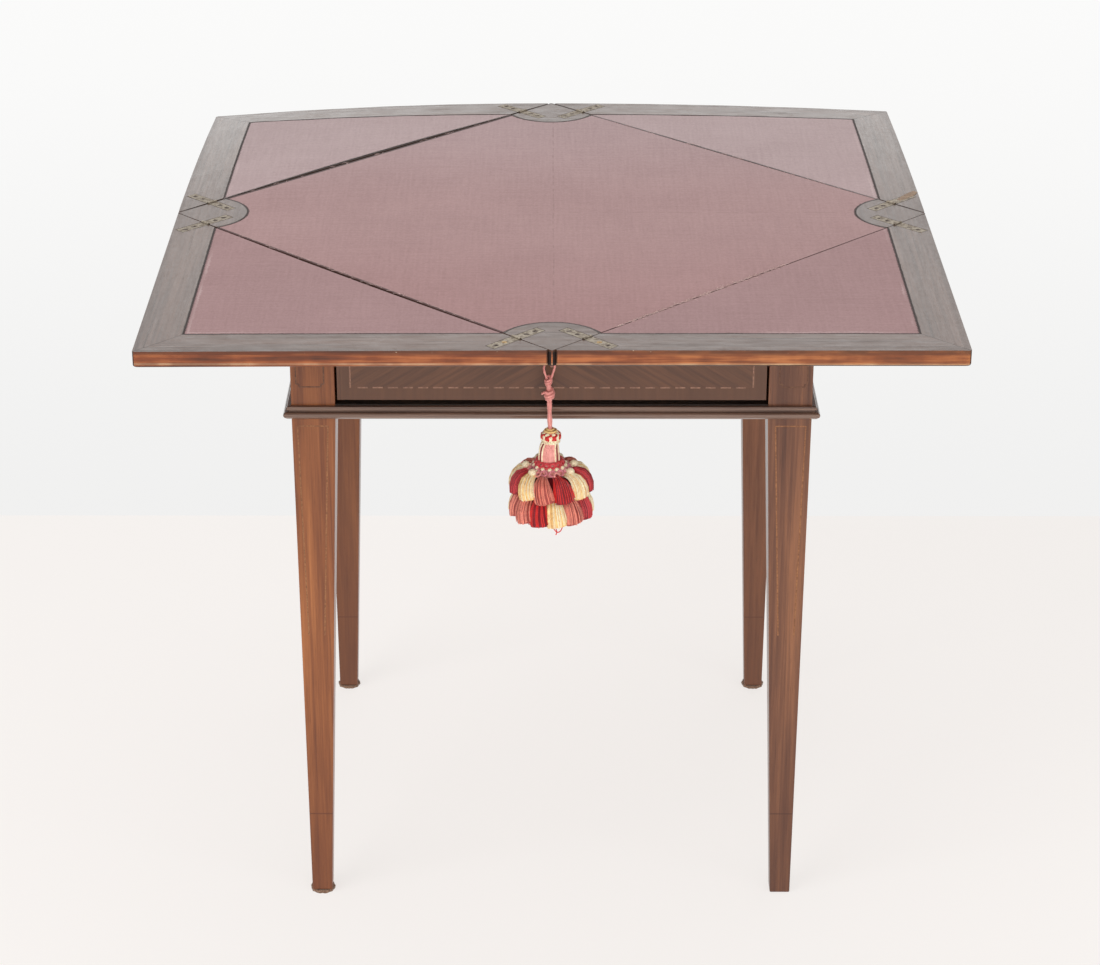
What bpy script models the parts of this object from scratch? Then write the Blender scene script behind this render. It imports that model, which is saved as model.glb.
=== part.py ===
"""Envelope card table, opened out for play.

A square frame on four tapered legs carries a square board that turns on a central pivot.
Open, the board's corners lie at the middles of the open top's sides, and a triangular leaf is
hinged to each of its edges. Folded in, the four leaves meet like the flaps of an envelope, and
the top turns by 45 degrees to sit square on the frame. A drawer with a lock, a key and a
tassel runs in under the front.

The origin is on the floor under the middle of the table: +X right, +Y back, +Z up, in metres.
"""

import math
from dataclasses import dataclass

import bmesh
import bpy
from mathutils import Matrix, Vector

MM = 0.001

# Clearances
FIT = 0.3 * MM  # between pieces that seat on each other
RUN = 0.5 * MM  # between pieces that slide or turn past each other
OVERRUN = 3 * MM  # how far a cutter runs past the face that it opens
OVERLAP = 1 * MM  # how far two shapes that are joined run into each other

# Whole table
OPEN_SIDE = 838 * MM
TABLE_HEIGHT = 728 * MM
BOARD_THICKNESS = 17.5 * MM
TOP_CLEARANCE = 1.5 * MM  # from the frame up to the underside of the top

# Frame and legs
FRAME_WIDTH = 552 * MM
FRAME_DEPTH = 528 * MM
FRIEZE_HEIGHT = 119.5 * MM
LEG_WIDTH = 46.5 * MM
LEG_FOOT = 22.5 * MM
LEG_OUTER_TAPER = 4 * MM
LEG_ARRIS = 0.8 * MM
FOOT_ROUND = 1.5 * MM
LEG_TOP_DROP = 3 * MM  # bevel that lets the leaves swing over the legs
LEG_TOP_RUN = 50 * MM
RAIL_THICKNESS = 20 * MM
FRONT_RAIL_DEPTH = 40 * MM
FRONT_TOP_RAIL = 14 * MM
FRONT_BOTTOM_RAIL = 16 * MM
TENON_LENGTH = 18 * MM
TENON_SHOULDER = 6 * MM
FRONT_TENON_SHOULDER = 3 * MM

# Applied moulding: its height and projection, and its outline as shares of the two
MOULDING_HEIGHT = 14.5 * MM
MOULDING_PROJECTION = 8 * MM
MOULDING_NOSE_SHARES = ((0.10, 0.0), (0.55, 0.06), (0.88, 0.22), (1.0, 0.38), (0.97, 0.50), (0.80, 0.575))
MOULDING_BEAD_SHARES = ((0.34, 0.595), (0.34, 0.74), (0.56, 0.755), (0.60, 0.87), (0.50, 0.98), (0.10, 1.0))

# Felt pads
PAD_RADIUS = 14 * MM
PAD_THICKNESS = 3 * MM
PAD_SIDES = 20
PAD_RAGGED_SHARE = 0.06

# Pivot board and pivot
PIVOT_BOARD_WIDTH = 120 * MM
PIVOT_BOARD_THICKNESS = 20 * MM
PIVOT_HOUSING_DEPTH = 10 * MM
PIVOT_STUD_RADIUS = 6 * MM
PIVOT_PLATE_RADIUS = 35 * MM
PIVOT_PLATE_THICKNESS = 4 * MM
PIVOT_PLATE_EDGE = 1 * MM
COUNTERBORE_RADIUS = 18 * MM
COUNTERBORE_DEPTH = 12 * MM
WASHER_RADIUS = 15 * MM
WASHER_THICKNESS = 2 * MM
NUT_ACROSS_CORNERS = 22 * MM
NUT_THICKNESS = 7 * MM
STUD_END = 1.2 * MM  # bare stud past the nut
PEG_CIRCLE = 90 * MM
PEG_RADIUS = 5 * MM
PEG_LENGTH = 11 * MM
SWIVEL_ANGLE = math.radians(45)

# Swivelling board and leaves
TIP_HALF_WIDTH = 0.8 * MM  # the board's corners are cut off this wide, flush with the open sides
SEAM_GAP = 0.8 * MM
LEAF_TIP_BLUNT = 2.3 * MM
LEAF_CORNER_ROUND = 3 * MM
LOWER_EDGE_ROUND = 3 * MM
LOWER_EDGE_STEPS = 4
BOARD_EDGE_ROUND = 2 * MM
LEAF_BORDER = 46.5 * MM
CLOTH_THICKNESS = 0.8 * MM
CLOTH_SINK = 0.2 * MM
ARCH_FROM_EDGE = 78 * MM  # from the middle of an open side in to the tip of the cloth's arched end
ARCH_HALF_WIDTH = 50 * MM
ARCH_STEPS = 14
# The old leaves have moved: how far each outer corner sags, how far each seam has opened, and how
# far the leaf's cloth has drawn back from its seam edge
LEAF_SAG = {"front_left": 2 * MM, "front_right": 0, "back_left": 17.5 * MM, "back_right": 10 * MM}
SEAM_OPENING = {
    "front_left": 3.2 * MM, "front_right": 0.6 * MM, "back_left": 5.5 * MM, "back_right": 1.6 * MM,
}
CLOTH_SHRINKAGE = {"front_left": 0.6 * MM, "front_right": 0, "back_left": 3.5 * MM, "back_right": 0.4 * MM}
SAG_STATION_SHARES = (0.0, 0.13, 0.3, 0.5, 0.75, 1.0)
SEAM_STATION_SHARES = (-0.75, -0.5, -0.25, 0.0, 0.25, 0.5, 0.75)
SEAM_EDGE_DEPTH = 2 * MM  # the strip beside the seam that follows its opening

# Strap hinges, flush in the board and the leaves
HINGE_FROM_TIP = 50 * MM
HINGE_WIDTH = 11.7 * MM
HINGE_INNER_LENGTH = 34 * MM
HINGE_OUTER_LENGTH = 37 * MM
HINGE_THICKNESS = 2 * MM
HINGE_AXIS_RISE = 0.35 * MM
KNUCKLE_RADIUS = 1.5 * MM
KNUCKLE_MIDDLE = 4.6 * MM
KNUCKLE_BORE = 0.8 * MM
PIN_RADIUS = 0.6 * MM
KNUCKLE_SIDES = 12
SCREW_HEAD_RADIUS = 3.1 * MM
SCREW_HOLE_RADIUS = 1.7 * MM
SCREW_SINK = 1.3 * MM
SCREW_FROM_END = 8 * MM
SCREW_PITCH = 12 * MM
SCREW_SIDES = 10

# Drawer
DRAWER_SIDE_GAP = 2.5 * MM
DRAWER_TOP_GAP = 1.5 * MM
DRAWER_BOTTOM_GAP = 4.5 * MM
DRAWER_RECESS = 0.5 * MM
DRAWER_FRONT_THICKNESS = 20 * MM
DRAWER_SIDE_THICKNESS = 9 * MM
DRAWER_SIDE_TOP_DROP = 4 * MM
DRAWER_BACK_THICKNESS = 9 * MM
DRAWER_BACK_FROM_END = 30 * MM
DRAWER_BACK_DROP = 5 * MM
DRAWER_BOTTOM_THICKNESS = 5 * MM
DRAWER_BOTTOM_RISE = 7 * MM  # from the front's lower edge up to the bottom's underside
GROOVE_DEPTH = 4 * MM
HOUSING_DEPTH = 3 * MM
TAIL_COUNT = 3
TAIL_LENGTH = 14 * MM
TAIL_FLARE = 2.5 * MM
TAIL_SHARE = 0.62  # of each tail's pitch, at its root
RUNNER_THICKNESS = 12 * MM
RUNNER_LEDGE = 22 * MM
GUIDE_HEIGHT = 48 * MM

# Lock, escutcheon and key
KEY_FROM_TOP = 25.5 * MM  # from the drawer front's upper edge down to the key
LOCK_WIDTH = 52 * MM
LOCK_DEPTH = 11.2 * MM
LOCK_BELOW_KEY = 18 * MM
CHAMBER_RADIUS = 9 * MM
CHAMBER_DEPTH = 8 * MM
BOLT_WIDTH = 20 * MM
BOLT_THICKNESS = 4 * MM
BOLT_ABOVE_KEY = 8 * MM  # from the key's axis up to the bolt's plate, drawn back
BOLT_FROM_CASE_FRONT = 2.4 * MM
BOLT_THROW = 6 * MM
TAIL_INNER = 3.8 * MM  # the bolt's tail hangs beside the key, and the bit lifts it
TAIL_OUTER = 7.4 * MM
KEYHOLE_RADIUS = 2.8 * MM
KEYHOLE_SLOT = 1.6 * MM
KEYHOLE_DROP = 8.8 * MM
KEYHOLE_STEPS = 10
ESCUTCHEON_RIM = 1.2 * MM
ESCUTCHEON_THICKNESS = 2.2 * MM
KEY_SHAFT_RADIUS = 2 * MM
KEY_COLLAR_RADIUS = 3.2 * MM
KEY_COLLAR_LENGTH = 2 * MM
KEY_COLLAR_GAP = 3 * MM  # from the drawer front to the collar
KEY_BIT_LENGTH = 5.5 * MM
KEY_BIT_REACH = 8 * MM
KEY_BIT_THICKNESS = 2.2 * MM
KEY_TIP = 1 * MM  # shaft past the bit
KEY_BOW_FROM_FRONT = 25 * MM  # from the drawer front to the middle of the bow
BOW_OUTER_RADIUS = 10 * MM
BOW_INNER_RADIUS = 6.8 * MM
BOW_THICKNESS = 2.6 * MM
ROUND_SIDES = 24

# Tassel, from the cord's loop down
STRAND_RADIUS = 1.4 * MM
LOOP_RADIUS = 4.9 * MM
LOOP_STEPS = 10
LOOP_SLACK = 1.2 * MM  # from the middle of the bow's rim down to the loop's
LOOP_BULGE = 3.4 * MM
LOOP_BULGE_DROP = 15 * MM
STRANDS_MEET = 22 * MM  # from the bow's rim down to where the loop's strands meet
KNOT_TOP = 25 * MM
KNOT_LENGTH = 17 * MM
KNOT_RADIUS = 5.6 * MM
STEM_RADIUS = 2.8 * MM
CORD_DROP = 72 * MM  # from the bow's rim down to the head
HEAD_NECK_RADIUS = 0.6 * MM
HEAD_RADIUS = 12.2 * MM
HEAD_LENGTH = 44 * MM
HEAD_SHARES = (
    (0.05, 0.0), (0.26, 0.045), (0.66, 0.085), (0.90, 0.14), (0.93, 0.21), (0.88, 0.29), (0.76, 0.345),
    (0.82, 0.415), (0.93, 0.55), (1.0, 0.69), (0.99, 0.78), (1.10, 0.825), (1.38, 0.87), (1.48, 0.925),
    (1.38, 0.975), (0.70, 1.0),
)
SKIRT_RADIUS = 45.5 * MM
SKIRT_LENGTH = 54 * MM
SKIRT_SHARES = (
    (0.33, 0.0), (0.84, 0.02), (0.97, 0.13), (1.0, 0.30), (0.95, 0.52), (0.88, 0.63), (0.95, 0.72),
    (1.0, 0.85), (0.95, 0.96), (0.44, 1.0),
)
LOWER_TIER_SHARE = 0.6  # of the skirt's length, down to where the lower tier begins
TUFTS_PER_TIER = 12
TUFT_GROOVE_SHARE = 0.09
TUFT_STEPS = 4

# Derived places
UNDERSIDE = TABLE_HEIGHT - BOARD_THICKNESS
FRAME_TOP = UNDERSIDE - TOP_CLEARANCE
RAIL_BOTTOM = FRAME_TOP - FRIEZE_HEIGHT
PIVOT_BOARD_TOP = UNDERSIDE - FIT
PIVOT_BOARD_BOTTOM = PIVOT_BOARD_TOP - PIVOT_BOARD_THICKNESS
OPEN_HALF = OPEN_SIDE / 2
ARCH_APEX = OPEN_HALF - ARCH_FROM_EDGE
BOARD_HALF_DIAGONAL = OPEN_HALF + TIP_HALF_WIDTH
SEAM_HALF_LENGTH = BOARD_HALF_DIAGONAL / math.sqrt(2)
AXIS_DISTANCE = SEAM_HALF_LENGTH + SEAM_GAP / 2
AXIS_HEIGHT = TABLE_HEIGHT + HINGE_AXIS_RISE
LEAF_REACH = OPEN_SIDE / math.sqrt(2) - AXIS_DISTANCE
HINGE_PLACE = SEAM_HALF_LENGTH - HINGE_FROM_TIP
CLOTH_RECESS = CLOTH_THICKNESS + CLOTH_SINK + FIT
DRAWER_HALF_WIDTH = FRAME_WIDTH / 2 - LEG_WIDTH - DRAWER_SIDE_GAP
DRAWER_OPENING_BOTTOM = RAIL_BOTTOM + FRONT_BOTTOM_RAIL
DRAWER_FRONT_BOTTOM = DRAWER_OPENING_BOTTOM + DRAWER_BOTTOM_GAP
DRAWER_FRONT_TOP = FRAME_TOP - FRONT_TOP_RAIL - DRAWER_TOP_GAP
KEY_HEIGHT = DRAWER_FRONT_TOP - KEY_FROM_TOP
DRAWER_FACE = -FRAME_DEPTH / 2 + DRAWER_RECESS
DRAWER_FRONT_BACK = DRAWER_FACE + DRAWER_FRONT_THICKNESS
BACK_RAIL_FACE = FRAME_DEPTH / 2 - RAIL_THICKNESS
BOW_CENTRE = DRAWER_FACE - KEY_BOW_FROM_FRONT
LOOP_HEIGHT = KEY_HEIGHT - (BOW_OUTER_RADIUS + BOW_INNER_RADIUS) / 2
HEAD_TOP = LOOP_HEIGHT - CORD_DROP

LEAF_ANGLES = {
    "front_right": math.radians(-45),
    "back_right": math.radians(45),
    "back_left": math.radians(135),
    "front_left": math.radians(-135),
}
SIDES = {"left": -1, "right": 1}
CORNERS = {
    "front_left": (-1, -1),
    "front_right": (1, -1),
    "back_left": (-1, 1),
    "back_right": (1, 1),
}
PADDED_LEGS = ("front_left", "back_left", "back_right")


# Building blocks


def material(name, colour, roughness, metallic=0.0):
    """A plain Principled material."""
    made = bpy.data.materials.new(name)
    made.use_nodes = True
    shader = made.node_tree.nodes["Principled BSDF"]
    shader.inputs["Base Color"].default_value = (*colour, 1.0)
    shader.inputs["Roughness"].default_value = roughness
    shader.inputs["Metallic"].default_value = metallic
    made.diffuse_color = (*colour, 1.0)
    return made


def empty(name, location, parent=None, turn=0.0):
    """A pivot that pieces are parented to."""
    pivot = bpy.data.objects.new(name, None)
    pivot.location = location
    pivot.rotation_euler.z = turn
    pivot.parent = parent
    bpy.context.scene.collection.objects.link(pivot)
    return pivot


def piece(name, bm, finish, parent=None, location=(0, 0, 0), turn=0.0, round_angle=None):
    """Makes a named object from a bmesh, in its parent's space."""
    bmesh.ops.recalc_face_normals(bm, faces=bm.faces)
    mesh = bpy.data.meshes.new(name)
    bm.to_mesh(mesh)
    bm.free()
    if finish is not None:
        mesh.materials.append(finish)
    if round_angle is not None:
        mesh.shade_smooth()
        mesh.set_sharp_from_angle(angle=round_angle)
    made = bpy.data.objects.new(name, mesh)
    made.location = location
    made.rotation_euler.z = turn
    made.parent = parent
    bpy.context.scene.collection.objects.link(made)
    return made


def cutter(name, bm, parent=None, location=(0, 0, 0), turn=0.0):
    """A shape that only cuts, or only joins, others."""
    made = piece(name, bm, None, parent, location, turn)
    made.hide_render = True
    made.display_type = "WIRE"
    return made


def boolean(target, other, operation):
    """Cuts or joins with the exact solver."""
    step = target.modifiers.new(other.name, "BOOLEAN")
    step.operation = operation
    step.object = other
    return step


def cut(target, *others):
    """Takes each shape out of the target."""
    for other in others:
        boolean(target, other, "DIFFERENCE")


def join(target, *others):
    """Adds each shape to the target as one body."""
    for other in others:
        boolean(target, other, "UNION")


def cuboid(bm, low, high):
    """A box between two corners."""
    low, high = Vector(low), Vector(high)
    size = high - low
    place = Matrix.Translation((low + high) / 2) @ Matrix.Diagonal((*size, 1))
    bmesh.ops.create_cube(bm, size=1, matrix=place)
    return bm


def box(low, high):
    """A bmesh holding one box."""
    return cuboid(bmesh.new(), low, high)


def prism(outline, low, high, place=Matrix.Identity(4)):
    """Extrudes a flat outline from one level to the other, then places it."""
    bm = bmesh.new()
    face = bm.faces.new([bm.verts.new((x, y, low)) for x, y in outline])
    raised = bmesh.ops.extrude_face_region(bm, geom=[face])["geom"]
    corners = [v for v in raised if isinstance(v, bmesh.types.BMVert)]
    bmesh.ops.translate(bm, verts=corners, vec=(0, 0, high - low))
    bmesh.ops.transform(bm, matrix=place, verts=bm.verts)
    return bm


def loft(rings, closed=False):
    """Skins rings of points, capped at both ends or joined end to end."""
    bm = bmesh.new()
    made = [[bm.verts.new(point) for point in ring] for ring in rings]
    pairs = list(zip(made, made[1:]))
    if closed:
        pairs.append((made[-1], made[0]))
    else:
        bm.faces.new(made[0])
        bm.faces.new(made[-1])
    count = len(made[0])
    for lower, upper in pairs:
        for i in range(count):
            j = (i + 1) % count
            bm.faces.new((lower[i], lower[j], upper[j], upper[i]))
    return bm


def circle(radius, level, sides=ROUND_SIDES, ripple=0.0):
    """A ring of points about Z. Ripple pulls every other point in by that share."""
    ring = []
    for i in range(sides):
        angle = 2 * math.pi * i / sides
        reach = radius * (1 - ripple * (i % 2))
        ring.append(Vector((reach * math.cos(angle), reach * math.sin(angle), level)))
    return ring


def turned(profile, sides=ROUND_SIDES):
    """Revolves (radius, level) pairs about Z, with flat ends."""
    return loft([circle(radius, level, sides) for radius, level in profile])


def washer_shape(inner, outer, low, high, outer_sides=ROUND_SIDES):
    """A ring with a bore. The bore has the outer side's number of faces."""
    rings = [(outer, low), (outer, high), (inner, high), (inner, low)]
    return loft([circle(radius, level, outer_sides) for radius, level in rings], closed=True)


def placed(bm, place):
    """Moves a whole bmesh by a matrix."""
    bmesh.ops.transform(bm, matrix=place, verts=bm.verts)
    return bm


def along_y():
    """Lays what was made along Z down along -Y."""
    return Matrix.Rotation(math.radians(90), 4, "X")


def along_x():
    """Lays what was made along Z down along X."""
    return Matrix.Rotation(math.radians(90), 4, "Y")


def baked(target):
    """Applies the object's modifiers, so that its final shape can be bent."""
    graph = bpy.context.evaluated_depsgraph_get()
    mesh = bpy.data.meshes.new_from_object(target.evaluated_get(graph))
    target.modifiers.clear()
    target.data = mesh
    return mesh


# Frame


@dataclass
class Rail:
    """A rail between two legs: a box, and a tenon at each end."""

    name: str
    along: int  # 0 runs along X, 1 along Y
    low: Vector
    high: Vector
    shoulder: float

    def tenon(self, end, grow=0.0):
        """The corners of the tenon at one end (-1 or 1), grown for its mortise."""
        low, high = self.low.copy(), self.high.copy()
        for i in range(3):
            if i != self.along:
                low[i] += self.shoulder - grow
                high[i] -= self.shoulder - grow
        root = self.high[self.along] if end > 0 else self.low[self.along]
        tip = root + end * (TENON_LENGTH + grow)
        back = root - end * grow
        low[self.along], high[self.along] = min(back, tip), max(back, tip)
        return low, high

    def rings(self):
        """Rectangles along the rail: tenon, shoulder, body, shoulder, tenon."""
        ring_list = []
        for end in (-1, 1):
            t_low, t_high = self.tenon(end)
            root = self.high[self.along] if end > 0 else self.low[self.along]
            tip = t_high[self.along] if end > 0 else t_low[self.along]
            steps = [(tip, t_low, t_high), (root, t_low, t_high), (root, self.low, self.high)]
            for station, low, high in steps if end < 0 else reversed(steps):
                ring_list.append(self.rectangle(station, low, high))
        return ring_list

    def rectangle(self, station, low, high):
        """Four points across the rail at one station."""
        across = 1 - self.along
        near, far = low[across], high[across]
        corners = ((near, low.z), (far, low.z), (far, high.z), (near, high.z))
        ring = []
        for a, z in corners:
            point = Vector((0, 0, z))
            point[self.along], point[across] = station, a
            ring.append(point)
        return ring


def frame_rails():
    """The five rails, from the frame's outer size and the legs between them."""
    half_x, half_y = FRAME_WIDTH / 2, FRAME_DEPTH / 2
    in_x, in_y = half_x - LEG_WIDTH - FIT, half_y - LEG_WIDTH - FIT
    front_back = -half_y + FRONT_RAIL_DEPTH
    rails = [
        Rail("rail_back", 0, Vector((-in_x, half_y - RAIL_THICKNESS, RAIL_BOTTOM)),
             Vector((in_x, half_y, FRAME_TOP)), TENON_SHOULDER),
        Rail("rail_front_top", 0, Vector((-in_x, -half_y, FRAME_TOP - FRONT_TOP_RAIL)),
             Vector((in_x, front_back, FRAME_TOP)), FRONT_TENON_SHOULDER),
        Rail("rail_front_bottom", 0, Vector((-in_x, -half_y, RAIL_BOTTOM)),
             Vector((in_x, front_back, DRAWER_OPENING_BOTTOM)), FRONT_TENON_SHOULDER),
    ]
    for side, sign in SIDES.items():
        edges = sorted((sign * half_x, sign * (half_x - RAIL_THICKNESS)))
        rails.append(
            Rail(f"rail_{side}", 1, Vector((edges[0], -in_y, RAIL_BOTTOM)),
                 Vector((edges[1], in_y, FRAME_TOP)), TENON_SHOULDER)
        )
    return rails


def build_rails(rails, finish):
    """The rails, with housings for the pivot board and a mortise for the lock bolt."""
    made = {rail.name: piece(rail.name, loft(rail.rings()), finish) for rail in rails}
    for side, sign in SIDES.items():
        inner = FRAME_WIDTH / 2 - RAIL_THICKNESS
        reach = sorted((sign * (inner - OVERRUN), sign * (inner + PIVOT_HOUSING_DEPTH + FIT)))
        half = PIVOT_BOARD_WIDTH / 2 + FIT
        housing = box((reach[0], -half, PIVOT_BOARD_BOTTOM - FIT), (reach[1], half, FRAME_TOP + OVERRUN))
        cut(made[f"rail_{side}"], cutter(f"housing_{side}", housing))
    bolt = bolt_box(RUN)
    top_rail_bottom = FRAME_TOP - FRONT_TOP_RAIL
    mortise = box(
        (bolt[0].x, bolt[0].y, top_rail_bottom - OVERRUN),
        (bolt[1].x, bolt[1].y, bolt[1].z + BOLT_THROW),
    )
    cut(made["rail_front_top"], cutter("bolt_mortise", mortise))
    return made


def foot_level(corner):
    """Legs on a felt pad stop above it; the one that lost its pad reaches the floor."""
    return PAD_THICKNESS + FIT if corner in PADDED_LEGS else 0.0


def leg_section(sx, sy, inset, width, level):
    """One square section of a leg, inset from the frame's outer corner."""
    far_x, far_y = FRAME_WIDTH / 2 - inset, FRAME_DEPTH / 2 - inset
    near_x, near_y = far_x - width, far_y - width
    corners = ((far_x, far_y), (near_x, far_y), (near_x, near_y), (far_x, near_y))
    return [Vector((sx * x, sy * y, level)) for x, y in corners]


def leg_shape(corner):
    """A leg: square block in the frieze, then a taper down to the foot."""
    sx, sy = CORNERS[corner]
    floor = foot_level(corner)
    sections = [
        (LEG_OUTER_TAPER + FOOT_ROUND, LEG_FOOT - 2 * FOOT_ROUND, floor),
        (LEG_OUTER_TAPER, LEG_FOOT, floor + FOOT_ROUND),
        (0, LEG_WIDTH, RAIL_BOTTOM),
        (0, LEG_WIDTH, FRAME_TOP),
    ]
    bm = loft([leg_section(sx, sy, *section) for section in sections])
    upright = [e for e in bm.edges if abs(e.verts[0].co.z - e.verts[1].co.z) > FOOT_ROUND + OVERLAP]
    bmesh.ops.bevel(bm, geom=upright, offset=LEG_ARRIS, segments=1, affect="EDGES")
    slope = LEG_TOP_DROP / LEG_TOP_RUN / math.sqrt(2)
    outer = Vector((sx * FRAME_WIDTH / 2, sy * FRAME_DEPTH / 2, FRAME_TOP - LEG_TOP_DROP))
    everything = list(bm.verts) + list(bm.edges) + list(bm.faces)
    sliced = bmesh.ops.bisect_plane(
        bm, geom=everything, plane_co=outer, plane_no=(sx * slope, sy * slope, 1), clear_outer=True
    )
    rim = [e for e in sliced["geom_cut"] if isinstance(e, bmesh.types.BMEdge)]
    bmesh.ops.contextual_create(bm, geom=rim)
    return bm


def build_legs(rails, finish):
    """Four legs, each cut for the tenons that meet it."""
    for corner, (sx, sy) in CORNERS.items():
        leg = piece(f"leg_{corner}", leg_shape(corner), finish)
        for rail in rails:
            end = sx if rail.along == 0 else sy
            low, high = rail.tenon(end, FIT)
            middle = (low + high) / 2
            if middle.x * sx > 0 and middle.y * sy > 0:
                cut(leg, cutter(f"mortise_{corner}_{rail.name}", box(low, high)))


def moulding_outline():
    """(projection, height) points of the moulding, from its back round its front."""
    shares = MOULDING_NOSE_SHARES + MOULDING_BEAD_SHARES
    front = [(FIT + out * MOULDING_PROJECTION, up * MOULDING_HEIGHT) for out, up in shares]
    return [(FIT, 0.0), *front, (FIT, MOULDING_HEIGHT)]


def build_mouldings(finish):
    """Four mitred lengths round the frame, flush with the rails' lower edges."""
    half_x, half_y = FRAME_WIDTH / 2, FRAME_DEPTH / 2
    runs = {
        "front": (half_x, half_y, 0.0),
        "right": (half_y, half_x, 90.0),
        "back": (half_x, half_y, 180.0),
        "left": (half_y, half_x, 270.0),
    }
    for name, (half_run, distance, degrees) in runs.items():
        rings = []
        for end in (-1, 1):
            ring = []
            for out, up in moulding_outline():
                ring.append(Vector((end * (half_run + out - FIT), -distance - out, RAIL_BOTTOM + up)))
            rings.append(ring)
        bm = placed(loft(rings), Matrix.Rotation(math.radians(degrees), 4, "Z"))
        piece(f"moulding_{name}", bm, finish, round_angle=math.radians(40))


def build_pads(finish):
    """Worn felt pads, a little larger than the feet and ragged at the rim."""
    for corner in PADDED_LEGS:
        sx, sy = CORNERS[corner]
        inset = LEG_OUTER_TAPER + LEG_FOOT / 2
        centre = (sx * (FRAME_WIDTH / 2 - inset), sy * (FRAME_DEPTH / 2 - inset), 0)
        levels = (0.0, PAD_THICKNESS)
        bm = loft([circle(PAD_RADIUS, level, PAD_SIDES, PAD_RAGGED_SHARE) for level in levels])
        piece(f"felt_pad_{corner}", bm, finish, location=centre)


def build_runners(finish):
    """L-shaped runners: a guide against each side rail, and the ledge that the drawer slides on."""
    half_length = FRAME_DEPTH / 2 - LEG_WIDTH - FIT
    guide_in = DRAWER_HALF_WIDTH + RUN
    guide_out = FRAME_WIDTH / 2 - RAIL_THICKNESS - FIT
    ledge_top = DRAWER_OPENING_BOTTOM
    bottom = ledge_top - RUNNER_THICKNESS
    outline = [
        (guide_out, bottom), (guide_out, bottom + GUIDE_HEIGHT), (guide_in, bottom + GUIDE_HEIGHT),
        (guide_in, ledge_top), (guide_in - RUNNER_LEDGE, ledge_top), (guide_in - RUNNER_LEDGE, bottom),
    ]
    for side, sign in SIDES.items():
        mirrored = [(sign * x, z) for x, z in outline]
        piece(f"drawer_runner_{side}", prism(mirrored, -half_length, half_length, along_y()), finish)


# Swivelling top


def arch_centre():
    """Radius of the cloth's arched end, and its centre's distance from the table's centre."""
    seam_point = BOARD_HALF_DIAGONAL - ARCH_HALF_WIDTH
    rise = seam_point - ARCH_APEX
    radius = (ARCH_HALF_WIDTH ** 2 + rise ** 2) / (2 * rise)
    return radius, ARCH_APEX + radius


def board_cloth_outline(shrink, beyond):
    """The board's cloth: arched at its four corners, out to the seams or beyond them."""
    radius, distance = arch_centre()
    radius += shrink
    seam_point = BOARD_HALF_DIAGONAL - ARCH_HALF_WIDTH
    sweep = math.atan2(ARCH_HALF_WIDTH, distance - seam_point)
    sweep = min(sweep, math.pi - sweep) if distance < seam_point else sweep
    step_out = beyond / math.sqrt(2)
    outline = []
    for k in range(4):
        turn = Matrix.Rotation(math.radians(90) * k, 2)
        arc = []
        for i in range(ARCH_STEPS + 1):
            angle = -sweep + 2 * sweep * i / ARCH_STEPS
            arc.append(Vector((radius * math.sin(angle), -distance + radius * math.cos(angle))))
        first = arc[0] + Vector((-step_out, -step_out))
        last = arc[-1] + Vector((step_out, -step_out))
        ends = (first, last) if beyond else ()
        corner = [ends[0], *arc, ends[1]] if ends else arc
        outline.extend(turn @ point for point in corner)
    return [tuple(point) for point in outline]


def board_outline(inset=0.0):
    """The board's square, turned 45 degrees, with its tips cut off."""
    outline = []
    for k in range(4):
        turn = Matrix.Rotation(math.radians(90) * k, 2)
        for side in (-1, 1):
            tip = Vector((side * (TIP_HALF_WIDTH + inset * (math.sqrt(2) - 1)), -OPEN_HALF + inset))
            outline.append(tuple(turn @ tip))
    return outline


def level_ring(outline, level):
    """An outline's points at one level."""
    return [Vector((x, y, level)) for x, y in outline]


def hinge_pocket(length_in, length_out):
    """The pocket of one strap hinge, across the seam, in the hinge's own space."""
    half = HINGE_WIDTH / 2 + FIT
    floor = -HINGE_AXIS_RISE - HINGE_THICKNESS - FIT
    return (-length_in - FIT, -half, floor), (length_out + FIT, half, OVERRUN)


def build_board(swivel, leaf_frames, wood):
    """The swivelling board: cloth recess, hinge pockets, pivot recess and two stop pegs."""
    sections = [
        (BOARD_EDGE_ROUND, 0.0), (0.0, BOARD_EDGE_ROUND), (0.0, BOARD_THICKNESS),
    ]
    rings = [level_ring(board_outline(inset), level) for inset, level in sections]
    board = piece("top_board", loft(rings), wood, swivel)
    recess = prism(
        board_cloth_outline(0.0, OVERRUN), BOARD_THICKNESS - CLOTH_RECESS, BOARD_THICKNESS + OVERRUN
    )
    cut(board, cutter("board_recess", recess, swivel))
    flange = turned(
        [(PIVOT_PLATE_RADIUS + FIT, -OVERRUN), (PIVOT_PLATE_RADIUS + FIT, PIVOT_PLATE_THICKNESS + FIT)]
    )
    cut(board, cutter("pivot_recess", flange, swivel))
    for name, leaf_frame in leaf_frames.items():
        for sign in (-1, 1):
            low, high = hinge_pocket(HINGE_INNER_LENGTH, OVERRUN)
            pocket = box(low, high)
            cut(board, cutter(f"board_pocket_{name}_{sign}", pocket, leaf_frame, (0, sign * HINGE_PLACE, 0)))
    for number, angle in enumerate(peg_angles()):
        at = (PEG_CIRCLE * math.cos(angle), PEG_CIRCLE * math.sin(angle), 0)
        peg = turned([(PEG_RADIUS, -PEG_LENGTH), (PEG_RADIUS, OVERRUN)])
        join(board, cutter(f"stop_peg_{number}", peg, swivel, at))
    return board


def peg_angles():
    """The pegs meet the pivot board's back edge, one at each end of the swivel."""
    first = math.asin((PIVOT_BOARD_WIDTH / 2 + PEG_RADIUS + FIT) / PEG_CIRCLE)
    return first, math.pi - first - SWIVEL_ANGLE


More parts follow.
